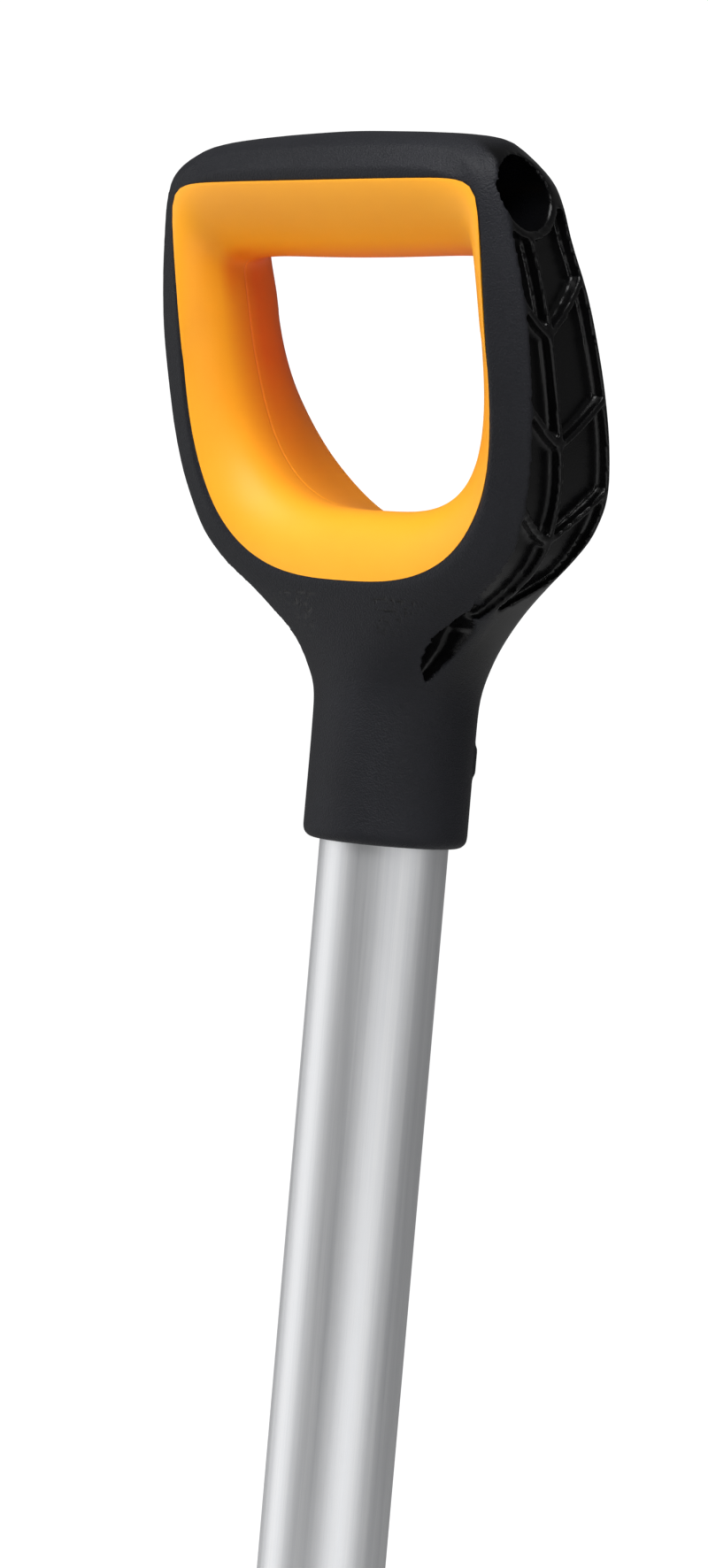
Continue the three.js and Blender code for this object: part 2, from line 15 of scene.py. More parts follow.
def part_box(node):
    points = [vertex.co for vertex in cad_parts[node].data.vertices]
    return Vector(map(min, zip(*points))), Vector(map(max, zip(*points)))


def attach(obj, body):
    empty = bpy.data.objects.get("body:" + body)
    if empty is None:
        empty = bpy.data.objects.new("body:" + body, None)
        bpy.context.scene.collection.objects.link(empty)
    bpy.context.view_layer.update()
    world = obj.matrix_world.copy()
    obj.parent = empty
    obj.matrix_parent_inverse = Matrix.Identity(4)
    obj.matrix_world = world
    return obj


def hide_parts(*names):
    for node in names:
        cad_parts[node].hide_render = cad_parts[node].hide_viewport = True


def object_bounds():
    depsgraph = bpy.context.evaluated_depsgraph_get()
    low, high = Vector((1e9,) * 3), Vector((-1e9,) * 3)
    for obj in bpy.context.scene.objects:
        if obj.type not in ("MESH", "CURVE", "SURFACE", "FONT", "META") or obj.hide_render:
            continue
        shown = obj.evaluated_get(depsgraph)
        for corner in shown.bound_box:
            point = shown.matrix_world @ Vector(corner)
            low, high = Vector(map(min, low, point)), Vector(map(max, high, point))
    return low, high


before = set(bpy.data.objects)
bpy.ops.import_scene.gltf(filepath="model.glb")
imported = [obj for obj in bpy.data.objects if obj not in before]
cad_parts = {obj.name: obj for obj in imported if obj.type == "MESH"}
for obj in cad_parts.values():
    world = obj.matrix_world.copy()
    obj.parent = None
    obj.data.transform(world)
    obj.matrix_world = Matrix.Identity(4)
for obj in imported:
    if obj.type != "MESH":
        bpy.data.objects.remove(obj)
cad_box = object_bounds()
MM = 0.001
shell_low, shell_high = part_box("handle_shell")
tube_low, tube_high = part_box("shaft_tube")
AXIS_Y = (tube_low.y + tube_high.y) / 2
TUBE_R = (tube_high.x - tube_low.x) / 2
HANDLE_BASE = shell_low.z
D_HALF = (shell_high.x - shell_low.x) / 2 / MM
print("nodes", sorted(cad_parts))
print("shaft radius", TUBE_R, "collar's lower edge", HANDLE_BASE)

# %% [markdown]
# ## Camera and studio
# The handle is seen from its right front, a little from above, and the fork leans in the picture
# because the camera is rolled. The focal length and the distance are those of a studio shot from
# about a metre, so the D shows real perspective.

# %% Camera
AZIMUTH = math.radians(40)
PITCH = math.radians(2.53)
ROLL = math.radians(4.95)
DISTANCE = 1.030
SIDE_STEP = -0.01032
EYE_HEIGHT = 0.06186
LENS_MM = 80.65

forward = Vector((-math.sin(AZIMUTH), math.cos(AZIMUTH), 0))
sideways = Vector((math.cos(AZIMUTH), math.sin(AZIMUTH), 0))
collar_foot = Vector((0, AXIS_Y, HANDLE_BASE))
camera_data = bpy.data.cameras.new("camera")
camera_data.lens = LENS_MM
camera_data.clip_end = 50
camera = bpy.data.objects.new("camera", camera_data)
bpy.context.scene.collection.objects.link(camera)
camera.location = (collar_foot - forward * DISTANCE + sideways * SIDE_STEP
                   + Vector((0, 0, EYE_HEIGHT)))
tilt = Euler((math.pi / 2 - PITCH, 0, AZIMUTH)).to_matrix() @ Matrix.Rotation(ROLL, 3, "Z")
camera.rotation_euler = tilt.to_euler()
bpy.context.scene.camera = camera
print("camera at", [round(v, 3) for v in camera.location])

# %% [markdown]
# A black and an orange moulding on white need a bright room with a few large panels: one on the left
# for the front of the handle, a low one on the right for the broad highlight down the shaft, one
# overhead for the grip and the saddle, a small high one on the right for the shell's corner, and a
# narrow one at the right side that only draws the edges of the ribs. The room and the floor show white,
# but light the pieces at a lower level, so that the black stays black. Colours are shown as they are, because a film curve would wash out the orange.

# %% Studio
def soft_light(name, place, aim, size, power, colour=(1, 1, 1)):
    data = bpy.data.lights.new(name, "AREA")
    data.shape = "RECTANGLE"
    data.size, data.size_y = size
    data.energy = power
    data.color = colour
    light = bpy.data.objects.new(name, data)
    bpy.context.scene.collection.objects.link(light)
    light.location = place
    light.rotation_euler = (Vector(aim) - Vector(place)).to_track_quat("-Z", "Y").to_euler()
    return light


def around(azimuth, distance, height):
    a = math.radians(azimuth)
    return Vector((math.sin(a) * distance, AXIS_Y - math.cos(a) * distance, height))


def white_to_camera(tree, lit, seen):
    path = tree.nodes.new("ShaderNodeLightPath")
    level = tree.nodes.new("ShaderNodeMapRange")
    level.inputs["To Min"].default_value = lit
    level.inputs["To Max"].default_value = seen
    tree.links.new(path.outputs["Is Camera Ray"], level.inputs["Value"])
    return level.outputs["Result"]


bpy.context.scene.view_settings.view_transform = "Standard"
world = bpy.data.worlds.new("studio")
bpy.context.scene.world = world
world.use_nodes = True
sky = world.node_tree
room = sky.nodes["Background"]
room.inputs["Color"].default_value = (1, 1, 1, 1)
sky.links.new(white_to_camera(sky, lit=0.14, seen=1.1), room.inputs["Strength"])
grip_middle = Vector((0, 0, -0.05))
soft_light("left panel", around(-58, 1.4, -0.2), (0, AXIS_Y, -0.25), (1.1, 1.9), 8.4)
soft_light("right panel", around(64, 1.6, -0.78), (0, AXIS_Y, -0.55), (1.6, 0.95), 6.2)
soft_light("overhead panel", around(12, 0.75, 0.95), grip_middle, (1.2, 1.1), 27)
soft_light("corner panel", around(52, 0.8, 0.7), grip_middle, (0.22, 0.22), 1.3)
soft_light("rib edge panel", around(98, 1.2, 0.15), grip_middle, (0.10, 0.7), 1.6)

# %% [markdown]
# The floor is a large pale sheet just under the tips of the tines. It is part of the stage, not of the
# fork.

# %% Floor
bpy.ops.object.select_all(action="DESELECT")
bpy.ops.mesh.primitive_plane_add(size=60, location=(0, 0, cad_box[0].z - 0.0005))
floor = bpy.context.object
floor.name = "floor"
pale = bpy.data.materials.new("pale_floor")
pale.use_nodes = True
pale_shader = pale.node_tree.nodes["Principled BSDF"]
pale_shader.inputs["Base Color"].default_value = (0.85, 0.85, 0.85, 1)
pale_shader.inputs["Roughness"].default_value = 0.9
pale_shader.inputs["Specular IOR Level"].default_value = 0.0
pale_shader.inputs["Emission Color"].default_value = (1, 1, 1, 1)
floor_glow = white_to_camera(pale.node_tree, lit=0.08, seen=0.9)
pale.node_tree.links.new(floor_glow, pale_shader.inputs["Emission Strength"])
floor.data.materials.append(pale)
print("floor at", floor.location.z)

# %% [markdown]
# ## Tools for modelling
# Most pieces here are stacks of sections, so one tool does most of the work. `draw_up` adds a filled
# circle, sets it to the first section, and then extrudes the face and moves the new ring to the next
# section, again and again, as one draws a shape up by hand with extrude and scale. `turn` is the
# lathe: it takes an outline and spins it round an axis. `carve` cuts, joins or trims with a Boolean.

# %% Select nothing, then pick a piece
def pick(piece):
    if bpy.context.object and bpy.context.object.mode != "OBJECT":
        bpy.ops.object.mode_set(mode="OBJECT")
    bpy.ops.object.select_all(action="DESELECT")
    if piece:
        piece.select_set(True)
        bpy.context.view_layer.objects.active = piece


def report(piece):
    low = [round(min(v.co[i] for v in piece.data.vertices) / MM, 1) for i in range(3)]
    high = [round(max(v.co[i] for v in piece.data.vertices) / MM, 1) for i in range(3)]
    print(piece.name, len(piece.data.polygons), "faces", low, high)
    return piece


# %% Draw a shape up through its sections
def place_handle(point):
    return (point[0] * MM, AXIS_Y + point[1] * MM, HANDLE_BASE + point[2] * MM)


def draw_up(name, sections, closed_ring=False):
    pick(None)
    count = len(sections[0])
    fill = "NOTHING" if closed_ring else "NGON"
    bpy.ops.mesh.primitive_circle_add(vertices=count, radius=1, fill_type=fill)
    piece = bpy.context.object
    piece.name = name
    bpy.ops.object.mode_set(mode="EDIT")
    ring = bmesh.from_edit_mesh(piece.data)
    ring.verts.ensure_lookup_table()
    for vert, place in zip(ring.verts, sections[0]):
        vert.co = place
    bmesh.update_edit_mesh(piece.data)
    for before, after in zip(sections, sections[1:]):
        goal = {tuple(Vector(p)): q for p, q in zip(before, after)}
        bpy.ops.mesh.extrude_region_move()
        grown = bmesh.from_edit_mesh(piece.data)
        for vert in grown.verts:
            if vert.select:
                vert.co = goal[tuple(vert.co)]
        bmesh.update_edit_mesh(piece.data)
    if closed_ring:
        bpy.ops.mesh.select_all(action="DESELECT")
        bpy.ops.mesh.select_mode(type="EDGE")
        loose = bmesh.from_edit_mesh(piece.data)
        for edge in loose.edges:
            edge.select = len(edge.link_faces) == 1
        bmesh.update_edit_mesh(piece.data)
        bpy.ops.mesh.bridge_edge_loops()
    bpy.ops.mesh.select_mode(type="VERT")
    bpy.ops.mesh.select_all(action="SELECT")
    bpy.ops.mesh.normals_make_consistent(inside=False)
    bpy.ops.object.mode_set(mode="OBJECT")
    return piece


# %% Turn an outline on the lathe
def turn(name, outline, axis_point, axis, steps, ring=False):
    pick(None)
    bpy.ops.mesh.primitive_circle_add(vertices=len(outline), radius=1, fill_type="NOTHING")
    piece = bpy.context.object
    piece.name = name
    bpy.ops.object.mode_set(mode="EDIT")
    profile = bmesh.from_edit_mesh(piece.data)
    profile.verts.ensure_lookup_table()
    for vert, place in zip(profile.verts, outline):
        vert.co = place
    if not ring:
        last = {profile.verts[0], profile.verts[-1]}
        closing = [e for e in profile.edges if set(e.verts) == last]
        bmesh.ops.delete(profile, geom=closing, context="EDGES")
    bmesh.update_edit_mesh(piece.data)
    bpy.ops.mesh.select_all(action="SELECT")
    bpy.ops.mesh.spin(steps=steps, angle=2 * math.pi, center=axis_point, axis=axis)
    bpy.ops.mesh.select_all(action="SELECT")
    bpy.ops.mesh.remove_doubles(threshold=1e-6)
    bpy.ops.mesh.normals_make_consistent(inside=False)
    bpy.ops.object.mode_set(mode="OBJECT")
    return piece


# %% Cut, join and finish
def carve(piece, tool, operation="DIFFERENCE"):
    pick(piece)
    step = piece.modifiers.new("carve", "BOOLEAN")
    step.operation = operation
    step.object = tool
    step.solver = "EXACT"
    bpy.ops.object.modifier_apply(modifier=step.name)
    bpy.data.objects.remove(tool, do_unlink=True)
    return piece


def apply_modifier(piece, kind, **values):
    pick(piece)
    step = piece.modifiers.new(kind.lower(), kind)
    for name, value in values.items():
        setattr(step, name, value)
    bpy.ops.object.modifier_apply(modifier=step.name)
    return piece


def copy_of(piece, name):
    twin = piece.copy()
    twin.data = piece.data.copy()
    twin.name = name
    bpy.context.scene.collection.objects.link(twin)
    return twin


def mirrored(piece, name):
    twin = copy_of(piece, name)
    twin.data.transform(Matrix.Scale(-1, 4, (1, 0, 0)))
    twin.data.flip_normals()
    return twin


def shade(piece, angle=35):
    pick(piece)
    bpy.ops.object.shade_smooth_by_angle(angle=math.radians(angle))
    return piece


# %% [markdown]
# ## The D-handle
# The shell is one black moulding: a round collar that flattens into a wide neck and opens into a D.
# Its section changes all the way up, from the collar's circle to a deep rounded rectangle on the legs
# and back to a rounded crown, so the body is drawn up through sections from a table of heights. Each
# row gives the spread (0 is the collar's radius, 1 the full width), the front and back, and how square
# the section is. A smooth curve is run through the rows.

# %% The D's table of sections
COLLAR_R = 24.2
STATIONS = np.array([
    (0, 0, -24.2, 24.2, 0), (38, 0, -24.2, 24.2, 0), (46, 0.03, -24.2, 23.6, 0.02),
    (55, 0.14, -24.3, 21, 0.15),
    (62, 0.26, -24.6, 18.2, 0.32), (70, 0.435, -25.2, 14.2, 0.55), (78, 0.637, -26.5, 10.2, 0.78),
    (86, 0.778, -28.1, 10.8, 0.93), (94, 0.851, -30, 13.8, 1), (104, 0.927, -32.4, 14.2, 1),
    (116, 0.973, -35.4, 11, 1), (130, 0.995, -38.8, 6.1, 1), (145, 1, -42.5, -0.2, 1),
    (160, 0.968, -46.2, -5.9, 1), (174, 0.911, -49.7, -12, 1), (184, 0.866, -52, -14.4, 0.96),
    (190, 0.82, -52.4, -15.6, 0.85), (195, 0.752, -50.8, -18.6, 0.6), (198.4, 0.65, -47.6, -24, 0.3),
    (200.4, 0.33, -44.4, -29.6, 0), (201.4, -0.25, -41.8, -35, 0), (201.7, -0.5, -39.2, -37.6, 0),
])


def station(column, z):
    heights = STATIONS[:, 0]
    values = STATIONS[:, column]
    last = len(heights) - 1
    i = int(np.clip(np.searchsorted(heights, z) - 1, 0, last - 1))
    span = heights[i + 1] - heights[i]
    t = min(max((z - heights[i]) / span, 0), 1)

    def slope(k):
        a, b = max(k - 1, 0), min(k + 1, last)
        return (values[b] - values[a]) / (heights[b] - heights[a])

    return ((2 * t**3 - 3 * t**2 + 1) * values[i] + (t**3 - 2 * t**2 + t) * span * slope(i)
            + (3 * t**2 - 2 * t**3) * values[i + 1] + (t**3 - t**2) * span * slope(i + 1))


def half_width(z):
    return COLLAR_R + (D_HALF - COLLAR_R) * station(1, z)


print("half width of the D at mid height", half_width(130))

# %% [markdown]
# One half of a section is listed from the middle of the front, round the flank, to the middle of the
# back: a crowned front, a small corner, the drafted flank, a larger corner and a crowned back. Each of
# its points also has a share of a circle, so that the section can turn into the round collar.

# %% One section of the D
CROWN_FRONT, CROWN_BACK = 6, 3
FRONT_CORNER, BACK_CORNER, FLANK_DRAFT = 3.5, 7, 2
FRONT_SHARES = (0, 0.12, 0.24, 0.36, 0.47, 0.57, 0.66, 0.74, 0.81, 0.87, 0.92, 0.955)
BACK_SHARES = (0.93, 0.86, 0.77, 0.67, 0.56, 0.44, 0.3, 0.15, 0)


def half_section(z, inset=0.0, thin=0.0):
    width = half_width(z) - inset
    front, back = station(2, z) + thin, station(3, z) - thin
    square = min(max(station(4, z), 0), 1)
    points = []
    for u in FRONT_SHARES:
        share = np.interp(u, (0, 0.35, 0.62, 0.8, 0.92, 1), (0, 1, 2, 3, 4, 4.6))
        points.append((u * (width - FRONT_CORNER * 0.3), front - CROWN_FRONT * (1 - u**5), share))
    for angle in (-74, -58, -42, -26, -10):
        a = math.radians(angle)
        share = np.interp(angle, (-90, -65, -25, 0), (4.5, 5, 6, 6.7))
        x = width + FRONT_CORNER * (math.cos(a) - 1)
        points.append((x, front + FRONT_CORNER * (1 + math.sin(a)), share))
    for v in (0.04, 0.14, 0.26, 0.38, 0.5, 0.62, 0.74, 0.86, 0.96):
        y = front + FRONT_CORNER + (back - BACK_CORNER - front - FRONT_CORNER) * v
        points.append((width - FLANK_DRAFT * v, y, 7 + 2 * v))
    for angle in (10, 24, 38, 52, 66):
        a = math.radians(angle)
        x = width - FLANK_DRAFT + BACK_CORNER * (math.cos(a) - 1)
        share = np.interp(angle, (0, 30, 62, 90), (9.3, 10, 11, 11.6))
        points.append((x, back + BACK_CORNER * (math.sin(a) - 1), share))
    for u in BACK_SHARES:
        share = np.interp(u, (0, 0.4, 0.75, 1), (14, 13, 12, 11.6))
        x = u * (width - FLANK_DRAFT - BACK_CORNER * 0.3)
        points.append((x, back + CROWN_BACK * (1 - u**4), share))
    section = []
    for x, y, share in points:
        angle = -math.pi / 2 + math.pi * share / 14
        round_x = width * math.cos(angle)
        round_y = (front + back) / 2 + (back - front) / 2 * math.sin(angle)
        section.append((round_x + (x - round_x) * square, round_y + (y - round_y) * square))
    section[0] = (0.0, section[0][1])
    section[-1] = (0.0, section[-1][1])
    return section


def face_y(x, z, at_front):
    half = half_section(z)
    side = half if at_front else half[::-1]
    side = side[: len(side) // 2]
    return float(np.interp(abs(x), [p[0] for p in side], [p[1] for p in side]))


print("one section has", 2 * len(half_section(120)) - 2, "points")

# %% Draw the body up
RIM_ROUND = 3.2


def d_body(name, inset=0.0, thin=0.0, step=2.4):
    heights = list(np.arange(RIM_ROUND, 184, step))
    heights += [184 + 16.4 * math.sin(a) for a in np.linspace(0.12, 1.5, 12)]
    heights += [200.8, 201.4, 201.7]
    sections = []
    for angle in (0, 22, 45, 67):
        a = math.radians(angle)
        z = RIM_ROUND * (1 - math.cos(a))
        shrink = 1 - RIM_ROUND * (1 - math.sin(a)) / COLLAR_R
        sections.append([(x * shrink, y * shrink, z) for x, y in half_section(0, inset, thin)])
    sections += [[(x, y, z) for x, y in half_section(z, inset, thin)] for z in heights]
    rings = [half + [(-x, y, z) for x, y, z in half[-2:0:-1]] for half in sections]
    return draw_up(name, [[place_handle(p) for p in ring] for ring in rings])


shell = report(d_body("d_handle_shell"))

# %% [markdown]
# The hand opening runs right through the D. It is narrowest at mid depth, where the legs and the saddle
# swell into it, and it follows the round underside of the grip bar at the top. The same surface makes
# the cut in the black shell and the orange lining, so both come from one function that gives a point
# of the tunnel for an angle round it and a depth from -1 at the front face to 1 at the back.

# %% The tunnel
EDGE_HALF, LEG_BULGE, LINING, SWELL, GRIP_SAG = D_HALF - 11.3, 8.2, 2.6, 3.2, 1.2
FRONT_MOUTH = (EDGE_HALF + 1.0, 138, 64.5, 57, 3.05, 7)
BACK_MOUTH = (EDGE_HALF + 1.6, 155, 62.8, 40, 2.1, 7)
THROAT = (EDGE_HALF - LEG_BULGE, 157, 60.5, 11.6, 3.2, 6.4)
FRONT_EDGE = (EDGE_HALF, 138, 62.6, 47.3, 2.85, 15)
BACK_EDGE = (EDGE_HALF + 0.2, 155, 63.6, 30.3, 2.35, 15)


def outline_point(shape, angle):
    half, middle, below, above, round_below, round_above = shape
    c, s = math.cos(angle), math.sin(angle)
    power = 2 / (round_below if s < 0 else round_above)
    x = half * math.copysign(abs(c) ** power, c)
    return x, middle + (below if s < 0 else above) * math.copysign(abs(s) ** power, s)


def tunnel(angle, depth):
    d = min(abs(depth), 1)
    throat_x, throat_z = outline_point(THROAT, angle)
    mouth_x, mouth_z = outline_point(FRONT_MOUTH if depth < 0 else BACK_MOUTH, angle)
    t = min(max((throat_z - 150) / 16, 0), 1)
    bar = t * t * (3 - 2 * t)
    opened = d**SWELL * (1 - bar) + (1 - math.sqrt(1 - d * d)) * bar
    x = throat_x + (mouth_x - throat_x) * opened
    sag = GRIP_SAG * bar * (1 - d) * max(0, 1 - (x / 46) ** 2)
    return x, throat_z + (mouth_z - throat_z) * opened - sag


def even_angles(count):
    turn_round = np.linspace(0, -2 * math.pi, 4001)
    outline = np.array([tunnel(a, 0.8) for a in turn_round])
    along = np.concatenate([[0], np.cumsum(np.hypot(*np.diff(outline, axis=0).T))])
    return [float(a) for a in np.interp(np.linspace(0, along[-1], count, False), along, turn_round)]


EVEN_ANGLES = even_angles(168)


def tunnel_ring(depth, count, grow=0.0):
    flat = [tunnel(angle, depth) for angle in EVEN_ANGLES[:: len(EVEN_ANGLES) // count]]
    count = len(flat)
    ring = []
    for i, (x, z) in enumerate(flat):
        front, back = face_y(x, z, True), face_y(x, z, False)
        (x0, z0), (x1, z1) = flat[i - 1], flat[(i + 1) % count]
        reach = math.hypot(x1 - x0, z1 - z0)
        out_x, out_z = -(z1 - z0) / reach * grow, (x1 - x0) / reach * grow
        ring.append((x + out_x, (front + back) / 2 + (back - front) / 2 * depth, z + out_z))
    return ring


def tunnel_cutter(name, grow=0.0, count=168):
    depths = [-2.3, -1, -0.97, -0.93, -0.87, -0.79, -0.68, -0.55, -0.4, -0.2]
    depths += [0] + [-d for d in depths[::-1]]
    rings = [[place_handle(p) for p in tunnel_ring(d, count, grow)] for d in depths]
    return draw_up(name, rings)


print("narrowest half width", THROAT[0], "at the faces", FRONT_MOUTH[0])

# %% [markdown]
# The shell is cut in three ways. The tunnel goes right through. The lining's seat is the tunnel grown
# by the lining's thickness, but only inside the line where orange meets black, so that the two colours
# stay flush and the black rounds over above the grip. The ribbed pockets in the flanks come next.

# %% Cut the tunnel and the lining's seat
def edge_ring(shape, y):
    angles = np.interp(np.linspace(0, 168, 240, False), range(168), EVEN_ANGLES)
    return [place_handle((x, y, z)) for x, z in (outline_point(shape, a) for a in angles)]


carve(shell, tunnel_cutter("tunnel"))
colour_line = draw_up("colour_line", [
    edge_ring(FRONT_EDGE, -80), edge_ring(FRONT_EDGE, -24),
    edge_ring(BACK_EDGE, -23), edge_ring(BACK_EDGE, 40)])
seat = tunnel_cutter("seat", LINING + 0.3)
carve(seat, colour_line, "INTERSECT")
carve(shell, seat)
report(shell)

# %% [markdown]
# Both flanks are hollowed between ribs that branch from a spine, like the veins of a leaf. The cells
# between the ribs share one depth. They are cut as one prism across the flank, less the ribs, less the
# ring round the grip's bore, and less a smaller copy of the body, which leaves a floor that follows the
# flank. A small tail pocket with a flat, leaning floor runs on below the flank's edge.

# %% A prism across the flank
GRIP_Y, GRIP_Z, BORE_R, RING_WALL, BORE_STRETCH = -37.6, 183.8, 10.2, 2.6, 1.22


def across(name, outline, x_from=20.0, x_to=90.0, lean=0.0):
    floor_ring = [place_handle((x_from + lean * (z - 50), y, z)) for y, z in outline]
    return draw_up(name, [floor_ring, [place_handle((x_to, y, z)) for y, z in outline]])


def rod_across(name, radius, x_from, x_to, y, z, count=64):
    turns = np.linspace(0, 2 * math.pi, count, False)
    ring = [(y + radius * BORE_STRETCH * math.cos(a), z + radius * math.sin(a)) for a in turns]
    return across(name, ring, x_from, x_to)


def pocket_outline(front_wall, back_wall):
    fronts = [(station(2, z) + front_wall, z) for z in np.arange(182, 78, -4)]
    backs = [(station(3, z) - back_wall, z) for z in np.arange(90, 184, 4)]
    bottom = [(-21, 72.5), (-17.2, 67.6), (-14.4, 67.4), (-7, 72.5), (4, 81.5)]
    return fronts + bottom + backs


# %% [markdown]
# The spine is a smooth curve through five points, and six arms leave it in slightly sagging curves. Each
# rib is a strip of even width along its path.

# %% The ribs
SPINE = [(-38, 176), (-28.4, 146), (-17.8, 116.4), (-10.4, 90.2), (-15, 65)]
ARMS = [
    (SPINE[1], (-47, 158.5)), (SPINE[1], (-9, 168)), (SPINE[2], (-40, 130.5)), (SPINE[2], (8, 139)),
    (SPINE[3], (-33, 102)), (SPINE[3], (17, 115)),
]
RIB = 2.0


def rib(name, path):
    left, right = [], []
    for i, (y, z) in enumerate(path):
        y0, z0 = path[max(i - 1, 0)]
        y1, z1 = path[min(i + 1, len(path) - 1)]
        reach = math.hypot(y1 - y0, z1 - z0)
        side_y, side_z = -(z1 - z0) / reach * RIB / 2, (y1 - y0) / reach * RIB / 2
        left.append((y + side_y, z + side_z))
        right.append((y - side_y, z - side_z))
    return across(name, left + right[::-1], 18, 92)


def bowed(start, end, sag):
    middle = ((start[0] + end[0]) / 2, (start[1] + end[1]) / 2 - sag)
    return [tuple((1 - t) ** 2 * a + 2 * t * (1 - t) * m + t * t * b
                  for a, m, b in zip(start, middle, end)) for t in np.linspace(-0.02, 1, 7)]


def spine_path():
    z_line = [p[1] for p in SPINE][::-1]
    y_line = [p[0] for p in SPINE][::-1]
    fit = np.polyfit(z_line, y_line, 4)
    return [(float(np.polyval(fit, z)), float(z)) for z in np.linspace(178, 64, 20)]


def rib_tools():
    tools = [rib("spine", spine_path())]
    tools += [rib("arm", bowed(start, end, 3.0)) for start, end in ARMS]
    tools.append(rod_across("bore_ring", BORE_R + RING_WALL, 18, 92, GRIP_Y, GRIP_Z))
    return tools


# %% Cut the pockets
def pocket(name, outline, depth, ribs):
    cell = across(name, outline)
    for tool in ribs:
        carve(cell, tool)
    carve(cell, d_body("floor", depth, 0, 4.0))
    carve(cell, tunnel_cutter("wall", LINING + 1.0, 84))
    return report(cell)


tail = [(-19.6, 70), (-12.5, 64.2), (-11.5, 57), (-13.5, 47.5), (-17, 52.5), (-19.4, 61)]
pockets = [
    pocket("cells", pocket_outline(3.4, 5.2), 3.9, rib_tools()),
    across("tail_cell", tail, 18.5, 90, 0.6),
]
for tool in pockets:
    carve(shell, mirrored(tool, "left_" + tool.name))
    carve(shell, tool)
report(shell)

# %% [markdown]
# The grip's core is blind at both ends: a round bore in each flank with a thin ring round it. The
# collar has a deep socket for the shaft, and a low pad at the back with a sunk hole for the screw.

# %% Bores, socket and screw pad
SCREW_Z, SCREW_HOLE, RIVET_HOLE = 26.0, 2.4, 3.3
pad_arc = [math.radians(a) for a in np.linspace(35, 145, 30)]
pad_ring = [((COLLAR_R + 0.65) * math.cos(a), (COLLAR_R + 0.65) * math.sin(a)) for a in pad_arc]
pad_ring += [((COLLAR_R - 1) * math.cos(a), (COLLAR_R - 1) * math.sin(a)) for a in pad_arc[::-1]]
pad = draw_up("screw_pad", [[place_handle((x, y, SCREW_Z + z)) for x, y in pad_ring] for z in (-4, 4)])
carve(shell, pad, "UNION")


def rod_along(axis, name, radius, start, end, count=64):
    turns = np.linspace(0, 2 * math.pi, count, False)
    ring = [(radius * math.cos(a), radius * math.sin(a)) for a in turns]
    build = {"z": lambda u, v, w: (u, v, w), "y": lambda u, v, w: (u, w, SCREW_Z + v)}[axis]
    return draw_up(name, [[place_handle(build(u, v, w)) for u, v in ring] for w in (start, end)])


for side in (-1, 1):
    carve(shell, rod_across("bore", BORE_R, side * (D_HALF - 48), side * 90, GRIP_Y, GRIP_Z))
socket = rod_along("z", "socket", TUBE_R / MM + 0.3, -2, 50, 96)
carve(shell, socket)
carve(shell, rod_along("y", "screw_hole", SCREW_HOLE, 5, 22, 32))
carve(shell, rod_along("y", "screw_seat", 4.1, COLLAR_R - 0.95, 32, 48))
report(shell)

# %% [markdown]
# A moulding has no sharp edge anywhere. A voxel remesh turns the cut body into an even skin, and a
# light smoothing then rounds every edge by about half a millimetre, ribs included. The skin is then
# thinned to the number of triangles that a piece may have.

# %% Even skin and soft edges
TRIANGLE_LIMIT = 190000
apply_modifier(shell, "REMESH", mode="VOXEL", voxel_size=0.75 * MM)
apply_modifier(shell, "SMOOTH", factor=0.5, iterations=3)
budget = TRIANGLE_LIMIT / (2 * len(shell.data.polygons))
if budget < 1:
    apply_modifier(shell, "DECIMATE", ratio=budget)
shade(shell, 60)
report(shell)

# %% [markdown]
# The orange lining is a soft second moulding that follows the tunnel. It is a closed band, so it is
# drawn as one cross-section through its thickness, extruded edge by edge round the opening, and bridged
# back to its start. A fine parting line runs round it at mid depth.

# %% Draw the lining round the opening
def lining_point(angle, depth, grow):
    x, z = tunnel(angle, depth)
    (x0, z0), (x1, z1) = tunnel(angle + 0.004, depth), tunnel(angle - 0.004, depth)
    reach = math.hypot(x1 - x0, z1 - z0)
    front, back = face_y(x, z, True), face_y(x, z, False)
    y = (front + back) / 2 + (back - front) / 2 * depth
    return x - (z1 - z0) / reach * grow, y, z + (x1 - x0) / reach * grow


def rim_depth(angle, grow, sign):
    half, middle, below, above, round_below, round_above = FRONT_EDGE if sign < 0 else BACK_EDGE
    low, high = 0.0, 1.0
    for _ in range(24):
        d = (low + high) / 2
        x, _, z = lining_point(angle, d * sign, grow)
        n, tall = (round_below, below) if z < middle else (round_above, above)
        outside = abs(x / (half - 0.12)) ** n + abs((z - middle) / (tall - 0.12)) ** n > 1
        low, high = (low, d) if outside else (d, high)
    return low


def lining_section(angle):
    sections = []
    for sign in (-1, 1):
        rim = rim_depth(angle, 0.0, sign)
        depths = list(rim * np.sin(np.linspace(math.pi / 2, 0.06, 22))) + [0.03, 0.012]
        points = [lining_point(angle, d * sign, 0.0) for d in depths]
        points[0] = lining_point(angle, depths[0] * sign, 0.28)
        sections.append(points)
    inner = sections[0] + [lining_point(angle, 0.0, 0.25)] + sections[1][::-1]
    outer = np.linspace(rim_depth(angle, LINING, 1), -rim_depth(angle, LINING, -1), 9)
    return inner + [lining_point(angle, d, LINING) for d in outer]


lining = draw_up("grip_lining_soft", [
    [place_handle(p) for p in lining_section(a)] for a in EVEN_ANGLES
], closed_ring=True)
shade(lining, 50)
report(lining)

# %% [markdown]
# ## Finishes
# Four effects are shared by several materials, and each is a node group that gives out only a mask or a
# height: the fine grain of a mould or a coating, slow patches from handling, wear along edges, and the
# drawn lines of a tube. They read object coordinates in metres, so a grain of a third of a millimetre
# has a scale of about three thousand.

